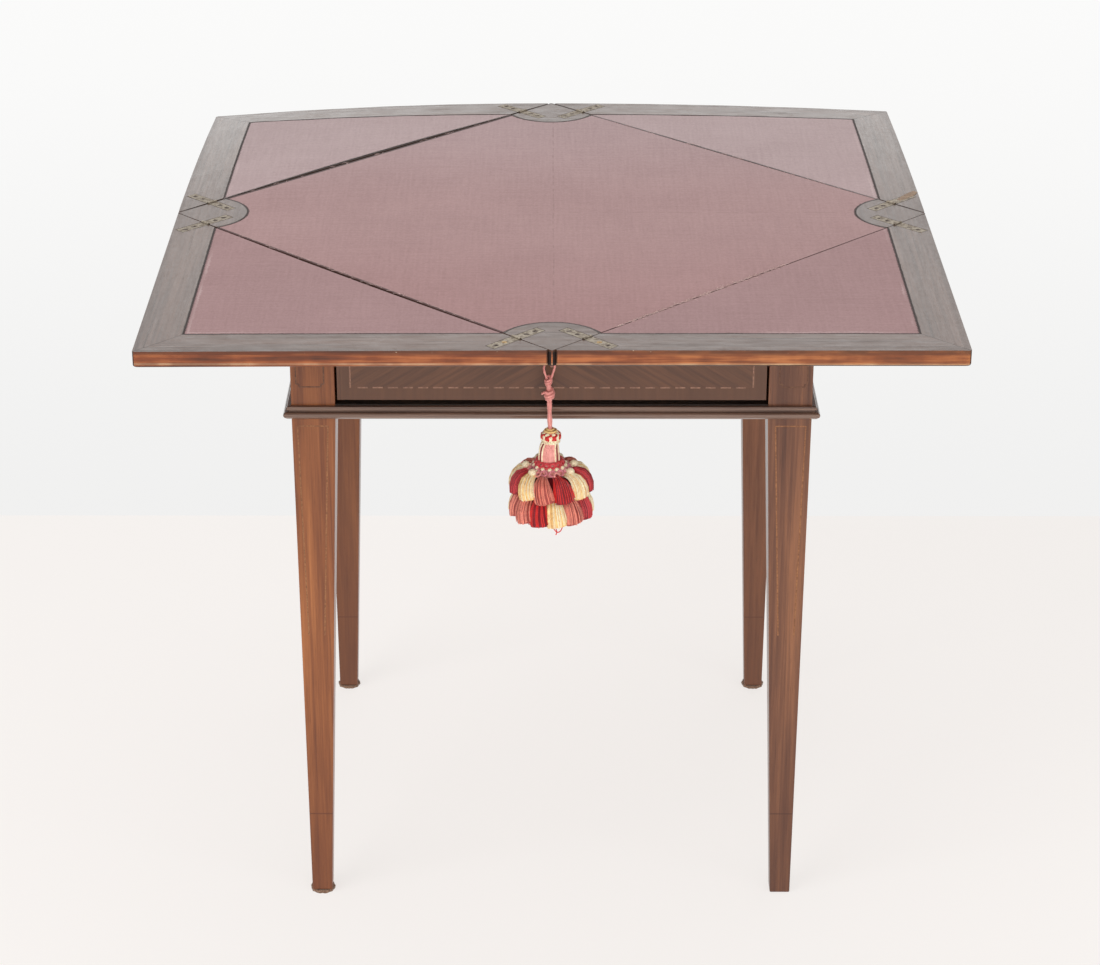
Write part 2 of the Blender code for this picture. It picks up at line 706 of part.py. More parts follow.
def build_board_cloth(swivel, cloth):
    """The cloth on the board, right out to the seams."""
    top = BOARD_THICKNESS - CLOTH_SINK
    bm = prism(board_cloth_outline(FIT, 0.0), top - CLOTH_THICKNESS, top)
    piece("top_cloth", bm, cloth, swivel)


def build_pivot(swivel, wood, steel):
    """The pivot board across the frame, and the plate, stud, washer and nut that hold the top."""
    half_x = FRAME_WIDTH / 2 - RAIL_THICKNESS + PIVOT_HOUSING_DEPTH
    half_y = PIVOT_BOARD_WIDTH / 2
    board = piece(
        "pivot_board",
        box((-half_x, -half_y, PIVOT_BOARD_BOTTOM), (half_x, half_y, PIVOT_BOARD_TOP)),
        wood,
    )
    counterbore_top = PIVOT_BOARD_BOTTOM + COUNTERBORE_DEPTH
    bore_radius = PIVOT_STUD_RADIUS + RUN
    stud_hole = turned([
        (COUNTERBORE_RADIUS, PIVOT_BOARD_BOTTOM - OVERRUN), (COUNTERBORE_RADIUS, counterbore_top),
        (bore_radius, counterbore_top), (bore_radius, PIVOT_BOARD_TOP + OVERRUN),
    ])
    cut(board, cutter("pivot_bore", stud_hole))

    washer_top = counterbore_top - FIT
    washer_bottom = washer_top - WASHER_THICKNESS
    nut_top = washer_bottom - FIT
    nut_bottom = nut_top - NUT_THICKNESS
    stud_radius = PIVOT_STUD_RADIUS
    plate = turned([
        (stud_radius, nut_bottom - STUD_END - UNDERSIDE), (stud_radius, FIT),
        (PIVOT_PLATE_RADIUS - PIVOT_PLATE_EDGE, FIT), (PIVOT_PLATE_RADIUS, FIT + PIVOT_PLATE_EDGE),
        (PIVOT_PLATE_RADIUS, PIVOT_PLATE_THICKNESS),
    ])
    piece("pivot_plate", plate, steel, swivel, round_angle=math.radians(40))
    bore = stud_radius + FIT
    washer = washer_shape(bore, WASHER_RADIUS, washer_bottom - UNDERSIDE, washer_top - UNDERSIDE)
    piece("pivot_washer", washer, steel, swivel, round_angle=math.radians(40))
    low, high = nut_bottom - UNDERSIDE, nut_top - UNDERSIDE
    nut = turned([(NUT_ACROSS_CORNERS / 2, low), (NUT_ACROSS_CORNERS / 2, high)], 6)
    nut_piece = piece("pivot_nut", nut, steel, swivel)
    thread = turned([(bore, low - OVERRUN), (bore, high + OVERRUN)])
    cut(nut_piece, cutter("nut_bore", thread, swivel))


# Leaves. A leaf's own space has its origin on the hinge line: X out, Y along the seam, Z up.


def leaf_outline(inset=0.0):
    """The leaf's triangle, inset from its two outer edges, with blunt tips and a rounded corner."""
    seam = SEAM_GAP / 2
    reach = LEAF_REACH - inset * math.sqrt(2)
    blunt = LEAF_TIP_BLUNT
    tip = reach - seam
    half = [(seam, tip - blunt * math.sqrt(2)), (seam + blunt / math.sqrt(2), tip - blunt / math.sqrt(2))]
    centre = reach - LEAF_CORNER_ROUND * math.sqrt(2)
    for degrees in (45, 15):
        angle = math.radians(degrees)
        half.append((centre + LEAF_CORNER_ROUND * math.cos(angle), LEAF_CORNER_ROUND * math.sin(angle)))
    return half + [(x, -y) for x, y in reversed(half)]


def leaf_sections():
    """(inset, level) pairs: a rounded lower edge, then an upright one."""
    top = -HINGE_AXIS_RISE
    bottom = top - BOARD_THICKNESS
    sections = []
    for i in range(LOWER_EDGE_STEPS + 1):
        angle = math.radians(90) * i / LOWER_EDGE_STEPS
        inset = LOWER_EDGE_ROUND * (1 - math.sin(angle))
        sections.append((inset, bottom + LOWER_EDGE_ROUND * (1 - math.cos(angle))))
    return sections + [(0.0, top)]


def settle(bm, name, shrinkage=0.0):
    """Bends a leaf's piece: its outer corner sags, and its seam edge has drawn back."""
    sag, opening = LEAF_SAG[name], SEAM_OPENING[name]
    cloth_half = LEAF_REACH - LEAF_BORDER * math.sqrt(2)
    stations = [share * LEAF_REACH for share in SAG_STATION_SHARES]
    planes = [(Vector((station, 0, 0)), Vector((1, 0, 0))) for station in stations[1:-1] if sag]
    if opening:
        planes += [
            (Vector((0, share * SEAM_HALF_LENGTH, 0)), Vector((0, 1, 0))) for share in SEAM_STATION_SHARES
        ]
    for point, normal in planes:
        everything = list(bm.verts) + list(bm.edges) + list(bm.faces)
        bmesh.ops.bisect_plane(bm, geom=everything, plane_co=point, plane_no=normal, dist=OVERLAP / 100)
    for vert in bm.verts:
        if vert.co.x < SEAM_EDGE_DEPTH:
            along = vert.co.y / SEAM_HALF_LENGTH
            vert.co.x += opening * max(0.0, 1 - along ** 2)
            vert.co.x += shrinkage * max(0.0, 1 - (vert.co.y / cloth_half) ** 2)
        vert.co.z -= sag * sag_share(vert.co.x, stations)
    return bm


def sag_share(out, stations):
    """How much of the sag has been reached this far out, straight between stations."""
    for near, far in zip(stations, stations[1:]):
        if out <= far:
            part = max(0.0, (out - near) / (far - near))
            low, high = (near / LEAF_REACH) ** 2, (far / LEAF_REACH) ** 2
            return low + (high - low) * part
    return 1.0


def leaf_cloth_outline(shrink, seam):
    """The leaf's cloth: a triangle inside the border, out to the seam or beyond it."""
    reach = LEAF_REACH - (LEAF_BORDER + shrink) * math.sqrt(2)
    return [(seam, reach - seam), (reach, 0.0), (seam, seam - reach)][::-1]


def build_leaf(name, leaf_frame, wood, cloth):
    """One triangular leaf and its cloth."""
    rings = [level_ring(leaf_outline(inset), level) for inset, level in leaf_sections()]
    leaf = piece(f"leaf_{name}", loft(rings), wood, leaf_frame)
    top = -HINGE_AXIS_RISE
    recess = prism(leaf_cloth_outline(0.0, -OVERRUN), top - CLOTH_RECESS, top + OVERRUN)
    cut(leaf, cutter(f"leaf_recess_{name}", recess, leaf_frame))
    for sign in (-1, 1):
        low, high = hinge_pocket(OVERRUN, HINGE_OUTER_LENGTH)
        pocket = cutter(f"leaf_pocket_{name}_{sign}", box(low, high), leaf_frame, (0, sign * HINGE_PLACE, 0))
        cut(leaf, pocket)
    bm = bmesh.new()
    bm.from_mesh(baked(leaf))
    settle(bm, name)
    bm.to_mesh(leaf.data)
    bm.free()

    surface = top - CLOTH_SINK
    cloth_shape = prism(leaf_cloth_outline(FIT, SEAM_GAP / 2), surface - CLOTH_THICKNESS, surface)
    piece(f"leaf_cloth_{name}", settle(cloth_shape, name, CLOTH_SHRINKAGE[name]), cloth, leaf_frame)


def strap(length, knuckle_spans, bores, pin):
    """A hinge plate out along +X from its knuckles, in the hinge's own space."""
    half = HINGE_WIDTH / 2
    top, bottom = -HINGE_AXIS_RISE, -HINGE_AXIS_RISE - HINGE_THICKNESS
    root = KNUCKLE_RADIUS + FIT
    outline = [(root, -half), (length, -half), (length, half), (root, half)]
    for low, high in reversed(knuckle_spans):
        outline += [(root, high), (FIT, high), (FIT, low), (root, low)]
    tidy = []
    for point in outline:
        if not tidy or (Vector(point) - Vector(tidy[-1])).length > OVERLAP / 100:
            tidy.append(point)
    if (Vector(tidy[0]) - Vector(tidy[-1])).length < OVERLAP / 100:
        tidy.pop()
    plate = prism(tidy, bottom, top)
    barrels = [placed(
        turned([(KNUCKLE_RADIUS, low), (KNUCKLE_RADIUS, high)], KNUCKLE_SIDES), pin_place()
    ) for low, high in knuckle_spans]
    if pin:
        end = half - FIT
        barrels.append(placed(turned([(PIN_RADIUS, -end), (PIN_RADIUS, end)], KNUCKLE_SIDES), pin_place()))
    holes = []
    for number in range(2):
        out = length - SCREW_FROM_END - number * SCREW_PITCH
        hole = turned([
            (SCREW_HOLE_RADIUS, bottom - OVERRUN), (SCREW_HOLE_RADIUS, top - SCREW_SINK),
            (SCREW_HEAD_RADIUS, top), (SCREW_HEAD_RADIUS, top + OVERRUN),
        ], SCREW_SIDES)
        holes.append(placed(hole, Matrix.Translation((out, 0, 0))))
    if bores:
        holes.append(placed(
            turned([(KNUCKLE_BORE, -half - OVERRUN), (KNUCKLE_BORE, half + OVERRUN)], KNUCKLE_SIDES),
            pin_place(),
        ))
    return plate, barrels, holes


def pin_place():
    """Lays a turned barrel along the hinge line, which is Y."""
    return Matrix.Rotation(math.radians(-90), 4, "X")


def hinge_half(name, shapes, parent, location, turn, brass):
    """One half of a strap hinge as a single body."""
    plate, barrels, holes = shapes
    made = piece(name, plate, brass, parent, location, turn)
    for number, barrel in enumerate(barrels):
        join(made, cutter(f"{name}_barrel_{number}", barrel, parent, location, turn))
    for number, hole in enumerate(holes):
        cut(made, cutter(f"{name}_hole_{number}", hole, parent, location, turn))
    made.data.shade_smooth()
    made.data.set_sharp_from_angle(angle=math.radians(40))
    return made


def build_hinges(name, leaf_frame, swivel, brass):
    """Both strap hinges of a leaf: the inner halves go with the board, the outer ones with the leaf."""
    half = HINGE_WIDTH / 2
    middle = KNUCKLE_MIDDLE / 2
    outer_spans = [(-half, -middle - FIT), (middle + FIT, half)]
    inner_spans = [(-middle, middle)]
    turn = LEAF_ANGLES[name]
    for label, sign in (("a", -1), ("b", 1)):
        on_leaf = Vector((0, sign * HINGE_PLACE, 0))
        hinge_half(f"hinge_{name}_{label}_outer", strap(HINGE_OUTER_LENGTH, inner_spans, False, True),
                   leaf_frame, on_leaf, 0.0, brass)
        spot = Matrix.Rotation(turn, 3, "Z") @ Vector((AXIS_DISTANCE, sign * HINGE_PLACE, 0))
        spot.z = AXIS_HEIGHT - UNDERSIDE
        hinge_half(f"hinge_{name}_{label}_inner", strap(HINGE_INNER_LENGTH, outer_spans, True, False),
                   swivel, spot, turn + math.pi, brass)


# Drawer


def tail_outlines(grow):
    """Dovetails at the front of a drawer side, as (y, z) outlines that widen towards the front."""
    low, high = DRAWER_FRONT_BOTTOM, DRAWER_FRONT_TOP - DRAWER_SIDE_TOP_DROP
    pitch = (high - low) / TAIL_COUNT
    root, tip = DRAWER_FRONT_BACK, DRAWER_FRONT_BACK - TAIL_LENGTH
    outlines = []
    for i in range(TAIL_COUNT):
        middle = low + pitch * (i + 0.5)
        at_root = pitch * TAIL_SHARE / 2 + grow
        at_tip = at_root + TAIL_FLARE
        back = root + (OVERLAP if not grow else FIT)
        outlines.append([
            (back, middle - at_root), (back, middle + at_root),
            (tip - grow, middle + at_tip), (tip - grow, middle - at_tip),
        ])
    return outlines


def build_drawer_box(drawer, wood, lining):
    """Front, dovetailed sides, back and bottom."""
    half = DRAWER_HALF_WIDTH
    side_bottom = DRAWER_OPENING_BOTTOM + FIT
    side_top = DRAWER_FRONT_TOP - DRAWER_SIDE_TOP_DROP
    side_end = BACK_RAIL_FACE - FIT
    inner = half - DRAWER_SIDE_THICKNESS
    bottom_low = DRAWER_FRONT_BOTTOM + DRAWER_BOTTOM_RISE
    bottom_high = bottom_low + DRAWER_BOTTOM_THICKNESS
    back_end = side_end - DRAWER_BACK_FROM_END
    back_start = back_end - DRAWER_BACK_THICKNESS

    front = piece(
        "drawer_front",
        box((-half, DRAWER_FACE, DRAWER_FRONT_BOTTOM), (half, DRAWER_FRONT_BACK, DRAWER_FRONT_TOP)),
        wood, drawer,
    )
    groove = box(
        (-inner, DRAWER_FRONT_BACK - GROOVE_DEPTH, bottom_low - FIT),
        (inner, DRAWER_FRONT_BACK + OVERRUN, bottom_high + FIT),
    )
    cut(front, cutter("front_groove", groove, drawer))

    for side, sign in SIDES.items():
        edges = sorted((sign * half, sign * inner))
        body = piece(
            f"drawer_side_{side}",
            box((edges[0], DRAWER_FRONT_BACK + FIT, side_bottom), (edges[1], side_end, side_top)),
            lining, drawer,
        )
        for number, outline in enumerate(tail_outlines(0.0)):
            join(body, cutter(f"tail_{side}_{number}", across_x(outline, edges), drawer))
        for number, outline in enumerate(tail_outlines(FIT)):
            reach = sorted((sign * (half + OVERRUN), sign * (inner - FIT)))
            cut(front, cutter(f"socket_{side}_{number}", across_x(outline, reach), drawer))
        inside = sorted((sign * (inner - OVERRUN), sign * (inner + GROOVE_DEPTH)))
        side_groove = box(
            (inside[0], DRAWER_FRONT_BACK - OVERRUN, bottom_low - FIT),
            (inside[1], side_end + OVERRUN, bottom_high + FIT),
        )
        cut(body, cutter(f"side_groove_{side}", side_groove, drawer))
        slot = sorted((sign * (inner - OVERRUN), sign * (inner + HOUSING_DEPTH)))
        housing = box(
            (slot[0], back_start - FIT, bottom_high), (slot[1], back_end + FIT, side_top + OVERRUN)
        )
        cut(body, cutter(f"side_housing_{side}", housing, drawer))

    back_half = inner + HOUSING_DEPTH - FIT
    piece(
        "drawer_back",
        box((-back_half, back_start, bottom_high + FIT), (back_half, back_end, side_top - DRAWER_BACK_DROP)),
        lining, drawer,
    )
    bottom_half = inner + GROOVE_DEPTH - FIT
    notch = inner - FIT
    bottom_front = DRAWER_FRONT_BACK - GROOVE_DEPTH + FIT
    shoulder = DRAWER_FRONT_BACK + RUN
    outline = [
        (-notch, bottom_front), (notch, bottom_front), (notch, shoulder), (bottom_half, shoulder),
        (bottom_half, back_end), (-bottom_half, back_end), (-bottom_half, shoulder), (-notch, shoulder),
    ]
    piece("drawer_bottom", prism(outline, bottom_low, bottom_high), lining, drawer)
    return front


def across_x(outline, reach):
    """Extrudes a (y, z) outline along X between two places."""
    rings = [[Vector((x, y, z)) for y, z in outline] for x in reach]
    return loft(rings)


def keyhole_outline(grow=0.0):
    """A round hole with a slot below it, as (x, z) points about the key's axis."""
    radius = KEYHOLE_RADIUS + grow
    slot = KEYHOLE_SLOT + grow
    start = math.asin(slot / radius)
    outline = []
    for i in range(KEYHOLE_STEPS + 1):
        angle = -math.pi / 2 + start + (2 * math.pi - 2 * start) * i / KEYHOLE_STEPS
        outline.append((radius * math.cos(angle), radius * math.sin(angle)))
    bottom = -KEYHOLE_DROP - grow
    return outline + [(-slot, bottom), (slot, bottom)]


def keyhole_prism(grow, front, back):
    """The keyhole's outline, extruded through the drawer front between two depths."""
    rings = [[Vector((x, y, KEY_HEIGHT + z)) for x, z in keyhole_outline(grow)] for y in (front, back)]
    return loft(rings)


def lock_box(grow=0.0):
    """The corners of the lock case, let into the back of the drawer front."""
    back = DRAWER_FRONT_BACK - FIT
    return (
        Vector((-LOCK_WIDTH / 2 - grow, back - LOCK_DEPTH - grow, KEY_HEIGHT - LOCK_BELOW_KEY - grow)),
        Vector((LOCK_WIDTH / 2 + grow, back, DRAWER_FRONT_TOP - FIT)),
    )


def bolt_box(grow=0.0):
    """The corners of the lock bolt's plate, drawn back, or of the slot that it slides in."""
    case_low, case_high = lock_box()
    front = case_low.y + BOLT_FROM_CASE_FRONT
    half = BOLT_WIDTH / 2 + grow
    return (
        Vector((-half, front - grow, KEY_HEIGHT + BOLT_ABOVE_KEY - grow)),
        Vector((half, front + BOLT_THICKNESS + grow, case_high.z - FIT + grow)),
    )


def bolt_tail(grow=0.0):
    """The corners of the bolt's tail. A quarter turn brings the bit up under it as the bolt is thrown."""
    low, high = bolt_box(grow)
    bottom = KEY_HEIGHT + KEY_BIT_THICKNESS / 2 + FIT - BOLT_THROW
    return (
        Vector((-TAIL_OUTER - grow, low.y, bottom - grow)),
        Vector((-TAIL_INNER + grow, high.y, low.z + grow + OVERLAP)),
    )


def build_lock(drawer, front, brass, iron):
    """Lock case, bolt and escutcheon, and the cuts that they need in the drawer front."""
    low, high = lock_box(FIT)
    cut(front, cutter("lock_recess", box(low, (high.x, high.y + OVERRUN, high.z + OVERRUN)), drawer))
    cut(front, cutter("keyhole", keyhole_prism(0.0, DRAWER_FACE - OVERRUN, low.y + OVERRUN), drawer))
    rim = ESCUTCHEON_RIM + FIT
    pocket_back = DRAWER_FACE + ESCUTCHEON_THICKNESS + FIT
    cut(front, cutter("escutcheon_pocket", keyhole_prism(rim, DRAWER_FACE - OVERRUN, pocket_back), drawer))

    plate = keyhole_prism(ESCUTCHEON_RIM, DRAWER_FACE, DRAWER_FACE + ESCUTCHEON_THICKNESS)
    escutcheon = piece("escutcheon", plate, brass, drawer)
    hole = keyhole_prism(0.0, DRAWER_FACE - OVERRUN, DRAWER_FACE + ESCUTCHEON_THICKNESS + OVERRUN)
    cut(escutcheon, cutter("escutcheon_hole", hole, drawer))

    case = piece("lock_case", box(*lock_box()), iron, drawer)
    case_front = lock_box()[0].y
    chamber = turned([(CHAMBER_RADIUS, -OVERRUN), (CHAMBER_RADIUS, CHAMBER_DEPTH)])
    chamber = placed(chamber, Matrix.Rotation(math.radians(-90), 4, "X"))
    cut(case, cutter("lock_chamber", chamber, drawer, (0, case_front, KEY_HEIGHT)))
    slot_low, slot_high = bolt_box(FIT)
    cut(case, cutter("bolt_slot", box(slot_low, (slot_high.x, slot_high.y, slot_high.z + OVERRUN)), drawer))
    cut(case, cutter("tail_slot", box(*bolt_tail(FIT)), drawer))
    bolt = piece("lock_bolt", box(*bolt_box()), brass, drawer)
    join(bolt, cutter("bolt_tail", box(*bolt_tail()), drawer))


def build_key(key, brass):
    """The key: bow, collar, shaft and bit, with its origin on the key's axis in the bow."""
    case_front = lock_box()[0].y
    bit_front = case_front + RUN + FIT - BOW_CENTRE
    bit_back = bit_front + KEY_BIT_LENGTH
    face = DRAWER_FACE - BOW_CENTRE
    collar = face - KEY_COLLAR_GAP
    to_back = Matrix.Rotation(math.radians(-90), 4, "X")
    shaft = placed(
        turned([(KEY_SHAFT_RADIUS, BOW_INNER_RADIUS + OVERLAP), (KEY_SHAFT_RADIUS, bit_back + KEY_TIP)], 16),
        to_back,
    )
    made = piece("key", shaft, brass, key)
    ring = placed(
        washer_shape(BOW_INNER_RADIUS, BOW_OUTER_RADIUS, -BOW_THICKNESS / 2, BOW_THICKNESS / 2), along_x()
    )
    collar_profile = [(KEY_COLLAR_RADIUS, collar - KEY_COLLAR_LENGTH), (KEY_COLLAR_RADIUS, collar)]
    rim = placed(turned(collar_profile, 16), to_back)
    half = KEY_BIT_THICKNESS / 2
    bit = box((-half, bit_front, -KEY_BIT_REACH), (half, bit_back, 0))
    for name, shape in (("bow", ring), ("collar", rim), ("bit", bit)):
        join(made, cutter(f"key_{name}", shape, key))


# Tassel


def sweep(path, radius, sides):
    """A tube of even thickness along points that lie in one X-Z plane."""
    rings = []
    for i, point in enumerate(path):
        before, after = path[max(i - 1, 0)], path[min(i + 1, len(path) - 1)]
        run = (after - before).normalized()
        across = Vector((0, 1, 0))
        up = run.cross(across)
        ring = []
        for k in range(sides):
            angle = 2 * math.pi * k / sides
            ring.append(point + radius * (math.cos(angle) * across + math.sin(angle) * up))
        rings.append(ring)
    return loft(rings)


def loop_path():
    """The cord's loop over the rim of the key's bow, from one strand's foot to the other's."""
    right = [
        Vector((STRAND_RADIUS + FIT / 2, 0, -STRANDS_MEET - OVERLAP)),
        Vector((LOOP_BULGE, 0, -LOOP_BULGE_DROP)),
    ]
    arc = []
    for i in range(LOOP_STEPS + 1):
        angle = math.pi * i / LOOP_STEPS
        arc.append(Vector((LOOP_RADIUS * math.cos(angle), 0, LOOP_RADIUS * math.sin(angle) - LOOP_SLACK)))
    left = [Vector((-point.x, 0, point.z)) for point in reversed(right)]
    return [*right, *arc, *left]


def build_cord(hang, silk):
    """The looped cord, its knot and the doubled stem down to the tassel's head."""
    knot_middle = -KNOT_TOP - KNOT_LENGTH / 2
    stem = turned([(STEM_RADIUS, FIT - CORD_DROP), (STEM_RADIUS, -STRANDS_MEET)], 12)
    made = piece("tassel_cord", stem, silk, hang, round_angle=math.radians(60))
    rows = 6
    profile = []
    for i in range(1, rows):
        angle = math.pi * i / rows
        profile.append((KNOT_RADIUS * math.sin(angle), knot_middle - KNOT_LENGTH / 2 * math.cos(angle)))
    join(made, cutter("cord_knot", turned(profile, 12), hang))
    join(made, cutter("cord_loop", sweep(loop_path(), STRAND_RADIUS, 8), hang))


def tuft_ring(radius, level, tier):
    """A ring with a groove between each pair of tufts; the lower tier sits half a tuft round."""
    ring = []
    count = TUFTS_PER_TIER * TUFT_STEPS
    for i in range(count):
        angle = 2 * math.pi * i / count
        phase = (i % TUFT_STEPS) / TUFT_STEPS
        dip = abs(math.cos(math.pi * (phase + 0.5 * tier)))
        reach = radius * (1 - TUFT_GROOVE_SHARE * dip)
        ring.append(Vector((reach * math.cos(angle), reach * math.sin(angle), level)))
    return ring


def build_tassel(swing, silk):
    """The turned head with its rings, and the skirt with two tiers of tufts."""
    profile = [(HEAD_RADIUS * out, -FIT - HEAD_LENGTH * down) for out, down in HEAD_SHARES]
    profile[0] = (HEAD_NECK_RADIUS, profile[0][1])
    piece("tassel_head", turned(profile[::-1], 20), silk, swing, round_angle=math.radians(60))
    skirt_top = -HEAD_LENGTH - 2 * FIT
    rings = []
    for out, down in SKIRT_SHARES:
        tier = 0 if down < LOWER_TIER_SHARE else 1
        rings.append(tuft_ring(SKIRT_RADIUS * out, skirt_top - SKIRT_LENGTH * down, tier))
    piece("tassel_skirt", loft(rings), silk, swing, round_angle=math.radians(50))


def main():
    """Clears the scene and builds the table."""
    for old in list(bpy.data.objects):
        bpy.data.objects.remove(old, do_unlink=True)

    mahogany = material("mahogany", (0.20, 0.075, 0.035), 0.35)
    dark = material("dark_mahogany", (0.09, 0.045, 0.03), 0.35)
    lining = material("drawer_lining", (0.36, 0.20, 0.10), 0.6)
    cloth = material("mauve_cloth", (0.41, 0.27, 0.27), 0.95)
    brass = material("aged_brass", (0.30, 0.24, 0.16), 0.45, 0.8)
    iron = material("old_iron", (0.12, 0.11, 0.10), 0.5, 0.9)
    felt = material("worn_felt", (0.30, 0.26, 0.21), 1.0)
    silk = material("rose_silk", (0.60, 0.16, 0.15), 0.6)

    rails = frame_rails()
    build_rails(rails, mahogany)
    build_legs(rails, mahogany)
    build_mouldings(dark)
    build_pads(felt)
    build_runners(lining)

    swivel = empty("swivel_pivot", (0, 0, UNDERSIDE))
    leaf_frames = {}
    for name, turn in LEAF_ANGLES.items():
        out = Matrix.Rotation(turn, 3, "Z") @ Vector((AXIS_DISTANCE, 0, 0))
        place = (out.x, out.y, AXIS_HEIGHT - UNDERSIDE)
        leaf_frames[name] = empty(f"leaf_pivot_{name}", place, swivel, turn)
    build_board(swivel, leaf_frames, mahogany)
    build_board_cloth(swivel, cloth)
    build_pivot(swivel, lining, iron)
    bpy.context.view_layer.update()
    for name, leaf_frame in leaf_frames.items():
        build_leaf(name, leaf_frame, mahogany, cloth)
        build_hinges(name, leaf_frame, swivel, brass)

    drawer = empty("drawer_slide", (0, 0, 0))
    front = build_drawer_box(drawer, mahogany, lining)
    build_lock(drawer, front, brass, iron)
    key = empty("key_pivot", (0, BOW_CENTRE, KEY_HEIGHT), drawer)
    build_key(key, brass)
    hang = empty("cord_pivot", (0, 0, LOOP_HEIGHT - KEY_HEIGHT), key)
    build_cord(hang, silk)
    swing = empty("tassel_pivot", (0, 0, HEAD_TOP - LOOP_HEIGHT), hang)
    build_tassel(swing, silk)


main()
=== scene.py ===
"""Dresses the envelope card table: its woods, cloths, strap hinges, drawer, key and silk tassel."""

import logging
import math
import random
from collections.abc import Callable, Iterable
from dataclasses import dataclass
from enum import Enum

import bmesh
import bpy
from mathutils import Matrix, Vector, noise
from mathutils.bvhtree import BVHTree


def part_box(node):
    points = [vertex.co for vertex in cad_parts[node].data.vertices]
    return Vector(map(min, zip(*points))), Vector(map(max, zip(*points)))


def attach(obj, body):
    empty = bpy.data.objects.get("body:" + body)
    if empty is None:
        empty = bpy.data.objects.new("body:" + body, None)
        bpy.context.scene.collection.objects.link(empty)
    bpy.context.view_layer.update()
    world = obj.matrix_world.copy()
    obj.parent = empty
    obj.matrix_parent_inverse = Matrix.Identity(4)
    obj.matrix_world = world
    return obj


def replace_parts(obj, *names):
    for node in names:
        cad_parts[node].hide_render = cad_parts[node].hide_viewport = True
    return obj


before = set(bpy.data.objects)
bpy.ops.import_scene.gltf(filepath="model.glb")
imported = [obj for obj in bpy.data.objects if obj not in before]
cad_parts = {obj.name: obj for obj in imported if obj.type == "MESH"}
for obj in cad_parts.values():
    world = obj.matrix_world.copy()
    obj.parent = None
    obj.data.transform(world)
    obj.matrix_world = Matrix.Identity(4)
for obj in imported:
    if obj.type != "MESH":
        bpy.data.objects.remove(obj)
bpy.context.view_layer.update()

log = logging.getLogger("card_table")

Colour = tuple[float, float, float]
Tones = tuple[Colour, Colour, Colour]
Point = tuple[float, float, float]
Profile = tuple[tuple[float, float], ...]

MM = 0.001
MERGE = 0.002 * MM
FLAT_ANGLE = math.radians(0.4)

# Places shared with the solids
TOP = 728 * MM
TOP_UNDERSIDE = 710.5 * MM
OPEN_HALF = 419 * MM
CLOTH_EDGE = OPEN_HALF - 46.5 * MM
ARCH_RADIUS = 53.8 * MM
ARCH_CENTRE = 394.8 * MM
LEAF_ORIGIN = 210.183 * MM
AXIS_HEIGHT = 728.35 * MM
HINGE_PLACE = 246.84 * MM
SEAM_HALF = 296.843 * MM
FRAME_FRONT = -264 * MM
DRAWER_FACE = -263.5 * MM
STRING_X = 213 * MM
STRING_LOW = 624 * MM
STRING_HIGH = 679.5 * MM
KEY_Y = -288.5 * MM
LEAVES = {"front_right": -45, "back_right": 45, "back_left": 135, "front_left": -135}
CORNERS = ((-1, -1), (1, -1), (-1, 1), (1, 1))
DIAGONAL = math.sqrt(0.5)

# Shares of a soft mark's width at which it is at its strongest, and which cells hold a spot
LINE_CORE = 0.35
SPOT_CORE = 0.4
SPOT_CHANCE = (0.70, 0.72)


def tone(red: float, green: float, blue: float) -> Colour:
    """A linear colour from how it looks on a screen.

    Args:
        red: Red, 0 to 255.
        green: Green, 0 to 255.
        blue: Blue, 0 to 255.

    Returns:
        The linear colour.
    """
    def linear(value: float) -> float:
        """One channel made linear."""
        share = value / 255
        return share / 12.92 if share <= 0.04045 else ((share + 0.055) / 1.055) ** 2.4
    return linear(red), linear(green), linear(blue)


# Shader maths


def math_node(operation: str, swapped: bool = False) -> Callable[..., "Signal"]:
    """Makes a method of Signal that lays down one Math node.

    Args:
        operation: The node's operation.
        swapped: Whether the signal is its second value.

    Returns:
        The method.
    """
    def method(self: "Signal", other: "Signal | float" = 0.0) -> "Signal":
        """Lays down the node, with the other value beside this one."""
        values = {0: other, 1: self} if swapped else {0: self, 1: other}
        return self.recipe.output("ShaderNodeMath", {"operation": operation}, values)
    return method


class Signal:
    """A node's output that Python arithmetic can be written on."""

    __add__ = math_node("ADD")
    __radd__ = math_node("ADD", swapped=True)
    __sub__ = math_node("SUBTRACT")
    __rsub__ = math_node("SUBTRACT", swapped=True)
    __mul__ = math_node("MULTIPLY")
    __rmul__ = math_node("MULTIPLY", swapped=True)
    __pow__ = math_node("POWER")
    __abs__ = math_node("ABSOLUTE")
    most = math_node("MAXIMUM")
    least = math_node("MINIMUM")

    def __init__(self, recipe: "Recipe", socket: bpy.types.NodeSocket) -> None:
        """Keeps the socket and the recipe that its nodes go into."""
        self.recipe = recipe
        self.socket = socket

    def rise(self, low: float, high: float) -> "Signal":
        """Goes smoothly from 0 to 1 between two values, or from 1 to 0 where low is the larger.

        Args:
            low: Where the result is 0.
            high: Where the result is 1.

        Returns:
            The smoothed share.
        """
        start, end = (0.0, 1.0) if low < high else (1.0, 0.0)
        sockets = {0: self, 1: min(low, high), 2: max(low, high), 3: start, 4: end}
        return self.recipe.output("ShaderNodeMapRange", {"interpolation_type": "SMOOTHSTEP"}, sockets)

    def near(self, value: float, width: float) -> "Signal":
        """1 at a value, fading to 0 at a width from it."""
        return abs(self - value).rise(width, width * LINE_CORE)


